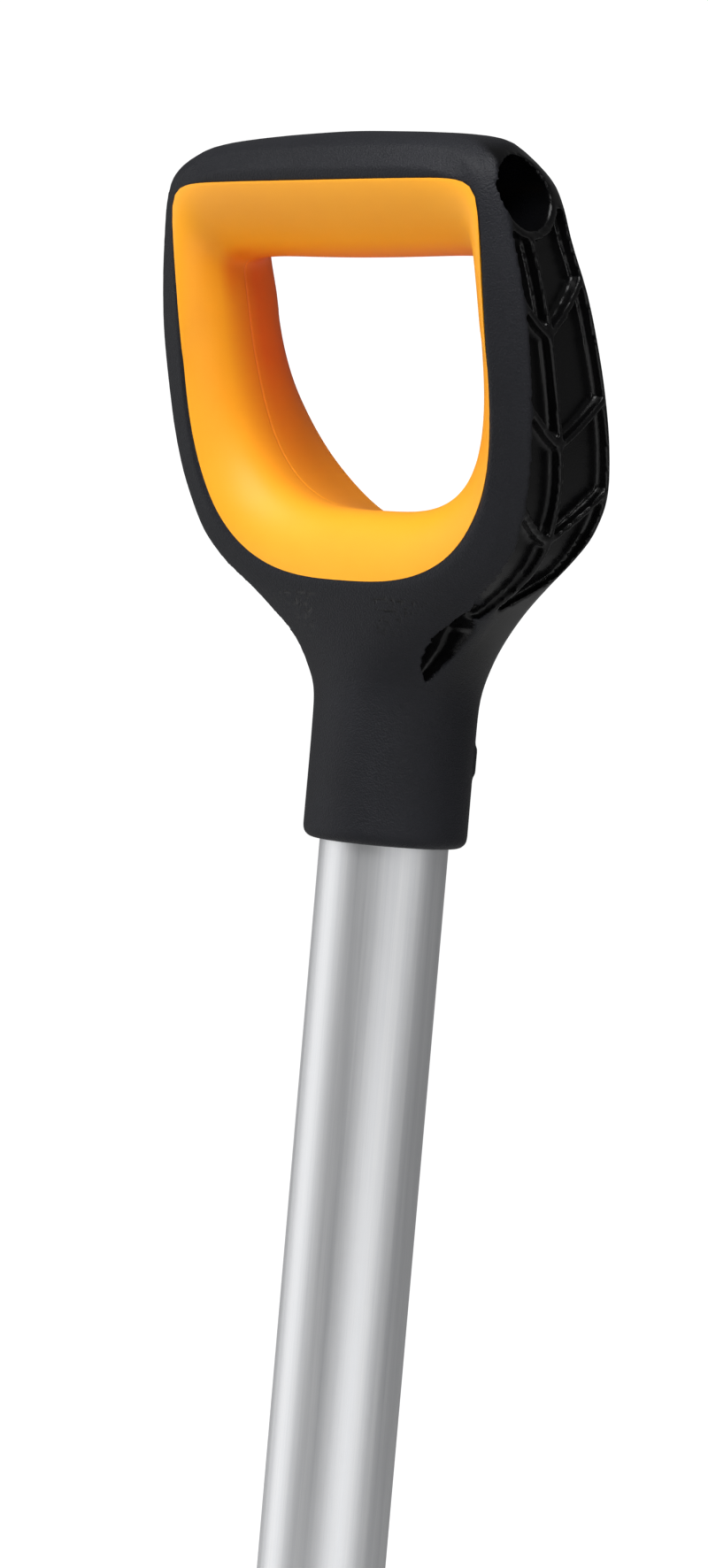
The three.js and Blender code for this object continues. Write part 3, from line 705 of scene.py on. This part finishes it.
# %% Node group helpers
def new_group(name, inputs, outputs):
    group = bpy.data.node_groups.new(name, "ShaderNodeTree")
    for label, kind, value in inputs:
        socket = group.interface.new_socket(label, in_out="INPUT", socket_type=kind)
        if value is not None:
            socket.default_value = value
    for label in outputs:
        group.interface.new_socket(label, in_out="OUTPUT", socket_type="NodeSocketFloat")
    return group, group.nodes.new("NodeGroupInput"), group.nodes.new("NodeGroupOutput")


def noise(tree, place, scale, detail=2.0, roughness=0.5):
    node = tree.nodes.new("ShaderNodeTexNoise")
    node.inputs["Detail"].default_value = detail
    node.inputs["Roughness"].default_value = roughness
    tree.links.new(place, node.inputs["Vector"])
    if isinstance(scale, (int, float)):
        node.inputs["Scale"].default_value = scale
    else:
        tree.links.new(scale, node.inputs["Scale"])
    return node.outputs["Fac"]


def calc(tree, operation, a, b=None, clamp=False):
    node = tree.nodes.new("ShaderNodeMath")
    node.operation = operation
    node.use_clamp = clamp
    for socket, value in zip(node.inputs, (a, b)):
        if isinstance(value, (int, float)):
            socket.default_value = value
        elif value is not None:
            tree.links.new(value, socket)
    return node.outputs[0]


def remap(tree, value, low, high, to_low=0.0, to_high=1.0):
    node = tree.nodes.new("ShaderNodeMapRange")
    for label, setting in (("From Min", low), ("From Max", high), ("To Min", to_low), ("To Max", to_high)):
        node.inputs[label].default_value = setting
    tree.links.new(value, node.inputs["Value"])
    return node.outputs["Result"]


# %% Grain, patches, edge wear and drawn lines
grain_group, grain_in, grain_out = new_group(
    "fine_grain", [("Place", "NodeSocketVector", None),
                   ("Grains per metre", "NodeSocketFloat", 2600.0)], ["Height"])
coarse = noise(grain_group, grain_in.outputs["Place"], grain_in.outputs["Grains per metre"],
               3.0, 0.6)
cells = grain_group.nodes.new("ShaderNodeTexVoronoi")
grain_group.links.new(grain_in.outputs["Place"], cells.inputs["Vector"])
grain_group.links.new(grain_in.outputs["Grains per metre"], cells.inputs["Scale"])
pits = calc(grain_group, "MULTIPLY", cells.outputs["Distance"], 0.45)
grain_group.links.new(calc(grain_group, "ADD", coarse, pits), grain_out.inputs["Height"])

patch_group, patch_in, patch_out = new_group(
    "handled_patches", [("Place", "NodeSocketVector", None),
                        ("Patches per metre", "NodeSocketFloat", 24.0)], ["Mask"])
slow = noise(patch_group, patch_in.outputs["Place"], patch_in.outputs["Patches per metre"],
             4.0, 0.55)
patch_group.links.new(remap(patch_group, slow, 0.32, 0.7), patch_out.inputs["Mask"])

wear_group, wear_in, wear_out = new_group(
    "edge_wear", [("Place", "NodeSocketVector", None), ("Edge", "NodeSocketFloat", 0.0),
                  ("Amount", "NodeSocketFloat", 0.5)], ["Mask"])
chips = noise(wear_group, wear_in.outputs["Place"], 420.0, 5.0, 0.65)
exposed = calc(wear_group, "MULTIPLY", wear_in.outputs["Edge"], wear_in.outputs["Amount"])
worn = calc(wear_group, "ADD", exposed, chips)
wear_group.links.new(remap(wear_group, worn, 0.86, 0.98), wear_out.inputs["Mask"])

drawn_group, drawn_in, drawn_out = new_group(
    "drawn_lines", [("Place", "NodeSocketVector", None)], ["Height", "Mask"])
squeeze = drawn_group.nodes.new("ShaderNodeMapping")
squeeze.inputs["Scale"].default_value = (1, 1, 0.006)
drawn_group.links.new(drawn_in.outputs["Place"], squeeze.inputs["Vector"])
hairlines = noise(drawn_group, squeeze.outputs["Vector"], 2400.0, 3.0, 0.7)
broad = noise(drawn_group, squeeze.outputs["Vector"], 420.0, 2.0, 0.5)
drawn_group.links.new(calc(drawn_group, "ADD", hairlines, calc(drawn_group, "MULTIPLY", broad, 0.5)),
                      drawn_out.inputs["Height"])
drawn_group.links.new(remap(drawn_group, calc(drawn_group, "ADD", hairlines, broad), 0.7, 1.3),
                      drawn_out.inputs["Mask"])
print("groups", [group.name for group in bpy.data.node_groups])


# %% [markdown]
# One function builds every coated or moulded finish from these groups. Two close colours are mixed by
# the slow patches, roughness moves with them, the grain goes into a Bump node, and where a finish can
# wear, a worn colour shows through on the edges. How far a point stands out along an edge is stored on
# each piece as the attribute `edge`, measured from the angle between its faces. A second attribute, for
# polish and painted shade, marks where a piece has less grain and another colour: inside the flanks'
# hollows the black is smoother and painted darker as shade, and deep in the hand opening the orange is
# painted redder and darker as shade.

# %% A finish from the groups
def use_group(tree, group, place, **values):
    node = tree.nodes.new("ShaderNodeGroup")
    node.node_tree = group
    tree.links.new(place, node.inputs["Place"])
    for name, value in values.items():
        socket = node.inputs[name.replace("_", " ")]
        if isinstance(value, (int, float)):
            socket.default_value = value
        else:
            tree.links.new(value, socket)
    return node


def blend_colour(tree, mask, low, high):
    node = tree.nodes.new("ShaderNodeMix")
    node.data_type = "RGBA"
    tree.links.new(mask, node.inputs["Factor"])
    for label, value in (("A", low), ("B", high)):
        socket = [s for s in node.inputs if s.name == label and s.type == "RGBA"][0]
        if isinstance(value, tuple):
            socket.default_value = (*value, 1)
        else:
            tree.links.new(value, socket)
    return [s for s in node.outputs if s.type == "RGBA"][0]


def blend_value(tree, mask, low, high):
    node = tree.nodes.new("ShaderNodeMix")
    tree.links.new(mask, node.inputs["Factor"])
    for index, value in ((2, low), (3, high)):
        if isinstance(value, (int, float)):
            node.inputs[index].default_value = value
        else:
            tree.links.new(value, node.inputs[index])
    return node.outputs[0]


def attribute(tree, name):
    node = tree.nodes.new("ShaderNodeAttribute")
    node.attribute_name = name
    return node.outputs["Fac"]


def finish(name, dark, light, roughness, grains, depth, metallic=0.0, patches=24.0, worn=None,
           shade_and_polish=None):
    material = bpy.data.materials.new(name)
    material.use_nodes = True
    tree = material.node_tree
    shader = tree.nodes["Principled BSDF"]
    place = tree.nodes.new("ShaderNodeTexCoord").outputs["Object"]
    mask = use_group(tree, patch_group, place, Patches_per_metre=patches).outputs["Mask"]
    grain = use_group(tree, grain_group, place, Grains_per_metre=grains).outputs["Height"]
    colour = blend_colour(tree, mask, dark, light)
    rough = calc(tree, "ADD", remap(tree, mask, 0, 1, *roughness),
                 remap(tree, grain, 0.3, 0.9, -0.05, 0.05))
    shader.inputs["Metallic"].default_value = metallic
    if shade_and_polish:
        # Where this mask is set, a painted shade colour replaces the colour, and the roughness and grain
        # change with it.
        smooth_shaded_parts = attribute(tree, "shade_and_polish")
        rough = blend_value(tree, smooth_shaded_parts, rough, shade_and_polish[0])
        colour = blend_colour(tree, smooth_shaded_parts, colour, shade_and_polish[1])
        grain = calc(tree, "MULTIPLY", grain, remap(tree, smooth_shaded_parts, 0, 1, 1.0, 0.15))
    if worn:
        wear = use_group(tree, wear_group, place, Edge=attribute(tree, "edge"), Amount=worn[2])
        bare = wear.outputs["Mask"]
        colour = blend_colour(tree, bare, colour, worn[0])
        rough = blend_value(tree, bare, rough, worn[1])
        if worn[3]:
            tree.links.new(remap(tree, bare, 0, 1, metallic, 1.0), shader.inputs["Metallic"])
    bump = tree.nodes.new("ShaderNodeBump")
    bump.inputs["Distance"].default_value = depth
    bump.inputs["Strength"].default_value = 1.0
    tree.links.new(grain, bump.inputs["Height"])
    tree.links.new(bump.outputs["Normal"], shader.inputs["Normal"])
    tree.links.new(colour, shader.inputs["Base Color"])
    tree.links.new(rough, shader.inputs["Roughness"])
    return material


# %% The moulded and coated finishes
# The second colour given with the polish is painted shade: the near-black that darkens the flanks' hollows.
black_plastic = finish(
    "grained_black_plastic", (0.0064, 0.0068, 0.0092), (0.0106, 0.0112, 0.0148), (0.44, 0.56),
    1900.0, 0.00022, worn=((0.10, 0.10, 0.105), 0.4, 0.12, False), shade_and_polish=(0.2, (0.002, 0.002, 0.0022)))
# The second colour given with the polish is painted shade: the dark red that deepens the orange far in the
# hand opening.
orange_soft = finish(
    "soft_orange", (0.93, 0.372, 0.012), (0.96, 0.402, 0.016), (0.44, 0.52),
    3400.0, 0.00002, patches=30.0, shade_and_polish=(0.5, (0.80, 0.13, 0.004)))
black_steel = finish(
    "powder_coated_steel", (0.014, 0.014, 0.015), (0.024, 0.024, 0.026), (0.38, 0.5),
    900.0, 0.00009, patches=16.0, worn=((0.2, 0.195, 0.19), 0.4, 0.36, True))
zinc = finish(
    "zinc_plated_steel", (0.52, 0.53, 0.54), (0.66, 0.67, 0.69), (0.26, 0.36),
    1500.0, 0.00002, metallic=1.0, patches=180.0)
nylon = finish("pale_nylon", (0.60, 0.58, 0.53), (0.68, 0.66, 0.61), (0.5, 0.58), 1800.0, 0.00003)
orange_soft.node_tree.nodes["Principled BSDF"].inputs["Specular IOR Level"].default_value = 0.35
black_plastic.node_tree.nodes["Principled BSDF"].inputs["Specular IOR Level"].default_value = 0.21
print("finishes", [m.name for m in (black_plastic, orange_soft, black_steel, zinc, nylon)])

# %% [markdown]
# The tube is drawn aluminium with a satin anodised skin. Its lines run lengthwise and are much finer
# than they are long, so the noise is squeezed along Z. They go into the bump, the roughness and, very
# slightly, the colour, and the anisotropy spreads highlights across the lines.

# %% The tube's finish
aluminium = bpy.data.materials.new("anodised_drawn_aluminium")
aluminium.use_nodes = True
tube_tree = aluminium.node_tree
tube_shader = tube_tree.nodes["Principled BSDF"]
tube_place = tube_tree.nodes.new("ShaderNodeTexCoord").outputs["Object"]
lines = use_group(tube_tree, drawn_group, tube_place)
tube_grain = use_group(tube_tree, grain_group, tube_place, Grains_per_metre=5200.0).outputs["Height"]
tube_shader.inputs["Metallic"].default_value = 1.0
tube_shader.inputs["Anisotropic"].default_value = 0.35
tube_colour = blend_colour(tube_tree, lines.outputs["Mask"], (0.70, 0.71, 0.73), (0.80, 0.805, 0.815))
tube_tree.links.new(tube_colour, tube_shader.inputs["Base Color"])
tube_rough = remap(tube_tree, lines.outputs["Mask"], 0, 1, 0.41, 0.49)
tube_tree.links.new(tube_rough, tube_shader.inputs["Roughness"])
tube_bump = tube_tree.nodes.new("ShaderNodeBump")
tube_bump.inputs["Distance"].default_value = 0.000012
tube_height = calc(tube_tree, "ADD", lines.outputs["Height"],
                   calc(tube_tree, "MULTIPLY", tube_grain, 0.6))
tube_tree.links.new(tube_height, tube_bump.inputs["Height"])
tube_tree.links.new(tube_bump.outputs["Normal"], tube_shader.inputs["Normal"])
print(aluminium.name)


# %% [markdown]
# Both attributes are stored on the points of a piece. An edge counts by the angle it turns outwards, and
# the mark fades over the neighbouring points. The polish and painted shade are worked out from where a
# point lies between the front and the back of the D, and how high it is.

# %% Mark the edges, and the polished parts with painted shade
def store(piece, name, values):
    layer = piece.data.attributes.new(name, "FLOAT", "POINT")
    layer.data.foreach_set("value", values.astype(np.float32))


def mark_edges(piece, reach=2, full=0.9):
    mesh = bmesh.new()
    mesh.from_mesh(piece.data)
    values = np.zeros(len(mesh.verts))
    for edge in mesh.edges:
        if len(edge.link_faces) == 2:
            turned = max(edge.calc_face_angle_signed(0.0), 0.0) / full
            for vert in edge.verts:
                values[vert.index] = max(values[vert.index], turned)
    pairs = np.array([(e.verts[0].index, e.verts[1].index) for e in mesh.edges])
    mesh.free()
    for _ in range(reach):
        near = values.copy()
        np.maximum.at(near, pairs[:, 0], values[pairs[:, 1]] * 0.7)
        np.maximum.at(near, pairs[:, 1], values[pairs[:, 0]] * 0.7)
        values = near
    store(piece, "edge", np.clip(values, 0, 1))
    return piece


def dress(piece, material, slot, *nodes):
    piece.data.materials.clear()
    piece.data.materials.append(material)
    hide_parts(*nodes)
    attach(piece, "root")
    return piece


def along_height(z_mm, value_at):
    heights = range(0, 202, 2)
    return np.interp(z_mm, heights, [value_at(z) for z in heights])


def places_in_d(piece):
    spots = np.empty(3 * len(piece.data.vertices))
    piece.data.vertices.foreach_get("co", spots)
    spots = spots.reshape(-1, 3)
    x_mm = np.abs(spots[:, 0]) / MM
    y_mm, z_mm = (spots[:, 1] - AXIS_Y) / MM, (spots[:, 2] - HANDLE_BASE) / MM
    front_line = along_height(z_mm, lambda z: station(2, z))
    return x_mm, y_mm, z_mm, front_line, along_height(z_mm, lambda z: station(3, z))


# Mask for the flanks' hollows and the tail pocket, where the black is smoother and also painted darker as
# shade.
def flank_shade_and_polish(piece):
    x_mm, y_mm, z_mm, front_line, back_line = places_in_d(piece)
    half_line = along_height(z_mm, half_width)
    neck = np.clip((76 - z_mm) / 8, 0, 1)
    in_flank = np.clip((y_mm - front_line - 2.4 - 9 * neck) / (1.6 + 5 * neck), 0, 1)
    in_flank = in_flank * np.clip((back_line - 1.2 - y_mm) / 1.5, 0, 1)
    in_flank *= np.clip((z_mm - 42) / 18, 0, 1) * np.clip((200 - z_mm) / 6, 0, 1)
    in_flank *= np.clip((x_mm - (half_line - 14)) / 2, 0, 1)
    skin = np.zeros(len(z_mm))
    for z in range(44, 72):
        ring = np.array(half_section(z))
        here = np.abs(z_mm - z) <= 0.5
        skin[here] = np.interp(y_mm[here], ring[:, 1], ring[:, 0])
    in_tail = np.clip((skin - x_mm - 0.4) / 0.8, 0, 1) * (x_mm > 12)
    return np.maximum(in_flank, in_tail)


# Mask of painted shade on the lining: it grows towards the back and top of the hand opening and near its
# inner top corners, where the orange is painted redder and darker.
def lining_painted_shade(piece):
    x_mm, y_mm, z_mm, front_line, back_line = places_in_d(piece)
    far_in = np.clip(((y_mm - front_line) / (back_line - front_line) - 0.2) / 0.36, 0, 1)
    high_up = np.clip((z_mm - 86) / 54, 0, 1)
    in_corner = np.clip(1.1 - np.hypot(x_mm - 49, z_mm - 166) / 22, 0, 1) * np.clip(far_in * 3, 0, 1)
    return np.maximum(far_in * high_up, in_corner * 0.7)


mark_edges(shell)
in_flank = flank_shade_and_polish(shell)
store(shell, "shade_and_polish", in_flank)
dress(shell, black_plastic, "handle_black", "handle_shell")
dress(lining, orange_soft, "grip_orange", "grip_lining")
store(lining, "shade_and_polish", lining_painted_shade(lining))
print("polished share of the shell", round(float(in_flank.mean()), 3))

# %% [markdown]
# ## Screw, tube and ferrule
# The handle is held on the tube by one pan-head screw at the back. Its head is turned on the lathe with
# a domed top, and a six-sided recess is cut into it. The tube is a long drawn pipe: one wall section is
# spun round the axis, and both ends get a small chamfer. Holes for the screw and rivets are cut through.

# %% The handle screw
def from_outline(points, axis):
    build = {"z": lambda r, w: (r * MM, AXIS_Y, w * MM), "y": lambda r, w: (r * MM, w * MM, 0)}[axis]
    return [build(r, w) for r, w in points]


def drill(piece, radius, z, y_from, y_to, count):
    turns = np.linspace(0, 2 * math.pi, count, False)
    circle = [(radius * MM * math.cos(a), z + radius * MM * math.sin(a)) for a in turns]
    return carve(piece, draw_up("hole", [[(x, y, up) for x, up in circle] for y in (y_from, y_to)]))


def drill_rivet_holes(piece):
    for node in ("tang_rivet_lower", "tang_rivet_upper"):
        low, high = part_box(node)
        drill(piece, RIVET_HOLE, (low.z + high.z) / 2, AXIS_Y - 0.03, AXIS_Y + 0.03, 32)


screw_low, screw_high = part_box("handle_screw")
screw_z = (screw_low.z + screw_high.z) / 2
tip_y, top_y = screw_low.y / MM, screw_high.y / MM
seat_y = top_y - 1.9
screw_outline = [
    (0, tip_y), (0.5, tip_y), (2.0, tip_y + 3), (2.0, seat_y - 0.3), (3.4, seat_y - 0.3),
    (3.75, seat_y), (3.8, seat_y + 0.5), (3.6, seat_y + 1.0), (3.1, seat_y + 1.45),
    (2.2, seat_y + 1.75), (0, seat_y + 1.9),
]
screw = turn("collar_screw", [(x, y, screw_z) for x, y, _ in from_outline(screw_outline, "y")],
             (0, 0, screw_z), (0, 1, 0), 48)
RECESS_R = 1.5
recess = draw_up("recess", [
    [(RECESS_R * MM * math.sin(a), y * MM, screw_z + RECESS_R * MM * math.cos(a))
     for a in np.linspace(0, 2 * math.pi, 6, False)] for y in (seat_y + 0.3, seat_y + 3)])
carve(screw, recess)
shade(mark_edges(report(screw)), 40)
dress(screw, zinc, "zinc_steel", "handle_screw")

# %% The drawn tube
WALL = 1.8
r_out, r_in, z0, z1 = TUBE_R / MM, TUBE_R / MM - WALL, tube_low.z / MM, tube_high.z / MM
wall = [(r_in, z0 + 0.3), (r_in + 0.3, z0), (r_out - 0.5, z0), (r_out, z0 + 0.5)]
wall += [(r_out, z) for z in np.linspace(z0 + 10, z1 - 10, 24)]
wall += [(r_out, z1 - 0.5), (r_out - 0.5, z1), (r_in + 0.3, z1), (r_in, z1 - 0.3)]
tube = turn("drawn_tube", from_outline(wall, "z"), (0, AXIS_Y, 0), (0, 0, 1), 128, ring=True)
drill_rivet_holes(tube)
drill(tube, SCREW_HOLE, screw_z, AXIS_Y, AXIS_Y + 0.03, 24)
shade(report(tube), 30)
dress(tube, aluminium, "anodised_aluminium", "shaft_tube")

# %% [markdown]
# The black ferrule at the tube's lower end is a plastic ring with three shallow grip grooves and a
# rounded lip that hides the tube's cut end. It is one closed outline turned on the lathe.

# %% The ferrule
ferrule_low, ferrule_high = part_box("shaft_ferrule")
f0, f1 = ferrule_low.z / MM, ferrule_high.z / MM
f_out, f_seat = (ferrule_high.x - ferrule_low.x) / 2 / MM, TUBE_R / MM + 0.3
ring_line = [(r_in + 0.15, f0), (f_out - 2, f0), (f_out - 0.9, f0 + 0.3), (f_out - 0.2, f0 + 1),
             (f_out, f0 + 2)]
for groove in (9, 12.5, 16):
    ring_line += [(f_out, f0 + groove - 1.0), (f_out - 0.7, f0 + groove - 0.6),
                  (f_out - 0.7, f0 + groove + 0.6), (f_out, f0 + groove + 1.0)]
ring_line += [(f_out, f1 - 7), (f_out - 0.25, f1 - 5), (f_out - 0.8, f1 - 2.4), (f_out - 1.4, f1 - 0.7),
              (f_out - 2.1, f1), (f_seat, f1), (f_seat, tube_low.z / MM - 0.3),
              (r_in + 0.15, tube_low.z / MM - 0.3)]
ferrule = turn("tube_ferrule", from_outline(ring_line, "z"), (0, AXIS_Y, 0), (0, 0, 1), 112, ring=True)
shade(mark_edges(report(ferrule)), 40)
# The ferrule has no polished hollows and no painted shade, so this mask is left at zero.
ferrule.data.attributes.new("shade_and_polish", "FLOAT", "POINT")
dress(ferrule, black_plastic, "handle_black", "shaft_ferrule")

# %% [markdown]
# A nylon plug sits in the tube's top, with two grooves round it and a dished end. The handle screw bites
# into its drilled side.

# %% The plug in the tube
plug_low, plug_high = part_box("tube_plug")
p0, p1, p_r = plug_low.z / MM, plug_high.z / MM, (plug_high.x - plug_low.x) / 2 / MM
plug_line = [(0, p0), (p_r - 2.4, p0), (p_r - 0.7, p0 + 0.7), (p_r, p0 + 2.4)]
for height in (12, 32):
    plug_line += [(p_r, p0 + height - 2), (p_r - 1.2, p0 + height - 1),
                  (p_r - 1.2, p0 + height + 1), (p_r, p0 + height + 2)]
plug_line += [(p_r, p1 - 1.2), (p_r - 1.2, p1), (6, p1), (5, p1 - 3), (0, p1 - 3)]
plug = turn("nylon_plug", from_outline(plug_line, "z"), (0, AXIS_Y, 0), (0, 0, 1), 64)
drill(plug, SCREW_HOLE, screw_z, AXIS_Y + 0.003, AXIS_Y + 0.03, 24)
shade(report(plug), 40)
dress(plug, nylon, "nylon", "tube_plug")

# %% [markdown]
# ## The forged head
# The neck is a forging that starts as a flat foot on the crosshead, narrows, and turns round where it
# goes into the tube. It is drawn up through rounded sections whose squareness fades out on the way up.

# %% The neck
neck_low, neck_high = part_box("tang_neck")
n0, n1 = neck_low.z / MM, neck_high.z / MM
tang_r = r_in - 0.3
foot_x, foot_y = (neck_high.x - neck_low.x) / 2 / MM, 6.25
LEVELS = np.array([(0, foot_x, foot_y, 5), (1.2, foot_x, foot_y, 5),
                   (12, foot_x - 5, foot_y + 0.4, 4), (30, 13, 8.2, 3), (52, 11, 9.8, 2.4), (76, 13, 12.6, 2), (90, tang_r, tang_r, 2), (97, tang_r, tang_r, 2),
                   (n1 - n0 - 6, tang_r, tang_r, 2), (n1 - n0 - 1, tang_r - 2.4, tang_r - 2.4, 2),
                   (n1 - n0, tang_r - 3, tang_r - 3, 2)])


def eased(column, z):
    k = int(np.clip(np.searchsorted(LEVELS[:, 0], z, side="right") - 1, 0, len(LEVELS) - 2))
    t = (z - LEVELS[k, 0]) / (LEVELS[k + 1, 0] - LEVELS[k, 0])
    t = t * t * (3 - 2 * t) * 0.6 + t * 0.4
    return LEVELS[k, column] + (LEVELS[k + 1, column] - LEVELS[k, column]) * t


def rounded_ring(half_x, half_y, power, x, y, z, count):
    ring = []
    for a in np.linspace(0, 2 * math.pi, count, False) + math.pi / count:
        c, s = math.cos(a), math.sin(a)
        ring.append(((x + half_x * math.copysign(abs(c) ** (2 / power), c)) * MM,
                     AXIS_Y + (y + half_y * math.copysign(abs(s) ** (2 / power), s)) * MM, z * MM))
    return ring


FOOT_ROUND = 0.8


def neck_ring(z):
    ease = FOOT_ROUND - z if z < FOOT_ROUND else 0
    return rounded_ring(eased(1, z) - ease, eased(2, z) - ease, eased(3, z), 0, 0, n0 + z, 72)


neck_levels = [0, 0.25, 0.7, 1.3] + list(np.arange(4, 97, 3.1))
neck_levels += [110, 130, 150, n1 - n0 - 6, n1 - n0 - 3, n1 - n0]
neck = draw_up("forged_neck", [neck_ring(z) for z in neck_levels])
hollow_r = tang_r - 4.4
carve(neck, draw_up("hollow", [rounded_ring(hollow_r, hollow_r, 2, 0, 0, z, 48) for z in (n1 - 75, n1 + 2)]))
drill_rivet_holes(neck)
shade(mark_edges(report(neck)), 40)
dress(neck, black_steel, "forged_black", "tang_neck")

# %% [markdown]
# Two steel rivets go right through tube and tang. One is turned on the lathe, with a domed head at each
# end and the slight flat that the riveting press leaves, and the second is a copy of it.

# %% The rivets
rivet_low, rivet_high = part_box("tang_rivet_lower")
rivet_z = (rivet_low.z + rivet_high.z) / 2
reach, seat_r = (rivet_high.y - rivet_low.y) / 2 / MM, TUBE_R / MM + 0.3
dome = [(0, reach), (1.6, reach), (2.9, reach - 0.45), (4.0, reach - 1.1), (4.75, reach - 1.9),
        (4.95, seat_r + 0.15), (4.8, seat_r)]
rivet_line = dome + [(3.0, seat_r), (3.0, -seat_r)] + [(r, -w) for r, w in dome[::-1]]
lower_rivet = turn("rivet_lower", [(r * MM, AXIS_Y + w * MM, rivet_z) for r, w in rivet_line],
                   (0, AXIS_Y, rivet_z), (0, 1, 0), 48)
mark_edges(lower_rivet)
upper_low, upper_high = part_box("tang_rivet_upper")
upper_rivet = copy_of(lower_rivet, "rivet_upper")
upper_rivet.data.transform(Matrix.Translation((0, 0, (upper_low.z + upper_high.z) / 2 - rivet_z)))
for piece, node in ((lower_rivet, "tang_rivet_lower"), (upper_rivet, "tang_rivet_upper")):
    shade(report(piece), 40)
    dress(piece, zinc, "zinc_steel", node)

# %% [markdown]
# The crosshead is a flat forging: a beam with a raised middle for the neck and four short legs for the
# tines, with filleted corners. Its outline is filled and extruded through its thickness, and a fine
# remesh and smoothing give it the soft edges of a forging.

# %% The crosshead
head_low, head_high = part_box("crosshead")
tine_boxes = [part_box("tine_" + name) for name in ("outer_left", "inner_left", "inner_right", "outer_right")]
tine_xs = [(low.x + high.x) / 2 / MM for low, high in tine_boxes]
half_tine = (tine_boxes[0][1].x - tine_boxes[0][0].x) / 2 / MM
h0, h1, edge_x = head_low.z / MM, head_high.z / MM, head_high.x / MM
beam_z, shoulder, root_x = h0 + 16, h1 - 7, foot_x + 1


def corner(start, control, end, steps=7):
    return [tuple((1 - t) ** 2 * a + 2 * t * (1 - t) * c + t * t * b for a, c, b in zip(start, control, end))
            for t in np.linspace(0, 1, steps)]


outline = [(-edge_x, h0)]
for i, x in enumerate(tine_xs):
    outline.append((x + half_tine, h0))
    if i < 3:
        left, right = x + half_tine, tine_xs[i + 1] - half_tine
        outline += corner((left, beam_z - 9), (left + 1, beam_z), (left + 10, beam_z))
        outline += corner((right - 10, beam_z), (right - 1, beam_z), (right, beam_z - 9))
        outline.append((right, h0))
outline += corner((edge_x, shoulder - 5), (edge_x, shoulder), (edge_x - 5, shoulder))
outline += corner((root_x + 10, shoulder), (root_x + 2, shoulder), (root_x, h1))
outline += corner((-root_x, h1), (-root_x - 2, shoulder), (-root_x - 10, shoulder))
outline += corner((-edge_x + 5, shoulder), (-edge_x, shoulder), (-edge_x, shoulder - 5))
crosshead = draw_up("forged_crosshead", [
    [(x * MM, y, z * MM) for x, z in outline] for y in (head_low.y, head_high.y)])
apply_modifier(crosshead, "REMESH", mode="VOXEL", voxel_size=0.9 * MM)
apply_modifier(crosshead, "SMOOTH", factor=0.5, iterations=6)
shade(mark_edges(report(crosshead), 1, 0.25), 60)
dress(crosshead, black_steel, "forged_black", "crosshead")

# %% [markdown]
# A tine is a square bar with eased edges, swept forward towards a drawn-out point. One is drawn up
# from its tip, and the other three are copies moved along the head.

# %% The tines
tine_low, tine_high = tine_boxes[0]
t0, tine_long = tine_low.z / MM, (tine_high.z - tine_low.z) / MM
size = 2 * half_tine
axis_in_head = (tine_high.y - AXIS_Y) / MM - half_tine
TINE_SWEEP = 34
tine_steps = [*np.linspace(0, 0.03, 5), *np.linspace(0.045, 0.16, 8), *np.linspace(0.19, 0.98, 25), 0.996, 1]
tine_rings = []
for t in tine_steps:
    taper = min(1, 0.62 + t * 0.9)
    point = min(1, 3.2 / size + t * 7) * (0.72 + 0.28 * min(1, t / 0.006))
    half = half_tine * taper * point
    tine_rings.append(rounded_ring(half, half, 7 - 3 * max(0, 1 - t * 8), tine_xs[0],
                                   axis_in_head - TINE_SWEEP * (1 - t) ** 2, t0 + tine_long * t, 32))
first_tine = draw_up("tine_1", tine_rings)
shade(mark_edges(report(first_tine), 1, 0.6), 50)
tines = [first_tine]
for i, x in enumerate(tine_xs[1:]):
    tine = copy_of(first_tine, "tine_" + str(i + 2))
    tine.data.transform(Matrix.Translation(((x - tine_xs[0]) * MM, 0, 0)))
    tines.append(tine)
for tine, name in zip(tines, ("outer_left", "inner_left", "inner_right", "outer_right")):
    dress(tine, black_steel, "forged_black", "tine_" + name)

# %% [markdown]
# A foot tread is a folded plate over the beam: flat on top for the sole, with a lip turned down at the
# front and back. The folded section is drawn across the beam and bevelled, which leaves small rounded
# edges all round.

# %% The treads
tread_low, tread_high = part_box("tread_right")
d0, d1 = tread_low.y, tread_high.y
lip, top, sheet = tread_low.z, tread_high.z, 2.5 * MM
outer = [(d0, lip), (d0, top - 3 * MM), (d0 + 0.25 * MM, top - 1.7 * MM), (d0 + 0.9 * MM, top - 0.8 * MM),
         (d0 + 1.8 * MM, top - 0.2 * MM), (d0 + 3 * MM, top)]
outer += [(d0 + d1 - y, z) for y, z in outer[::-1]]
inner = [(d1 - sheet, lip), (d1 - sheet, top - sheet - 0.8 * MM), (d1 - sheet - 0.8 * MM, top - sheet)]
inner += [(d0 + d1 - y, z) for y, z in inner[::-1]]
fold = outer + inner
tread_right = draw_up("tread_plate_right", [[(x, y, z) for y, z in fold] for x in
                                            np.linspace(tread_low.x, tread_high.x, 12)])
apply_modifier(tread_right, "BEVEL", width=0.7 * MM, segments=3, limit_method="ANGLE",
               angle_limit=math.radians(50))
shade(mark_edges(report(tread_right), 1, 0.6), 40)
tread_left = mirrored(tread_right, "tread_plate_left")
for piece, node in ((tread_right, "tread_right"), (tread_left, "tread_left")):
    dress(piece, black_steel, "forged_black", node)
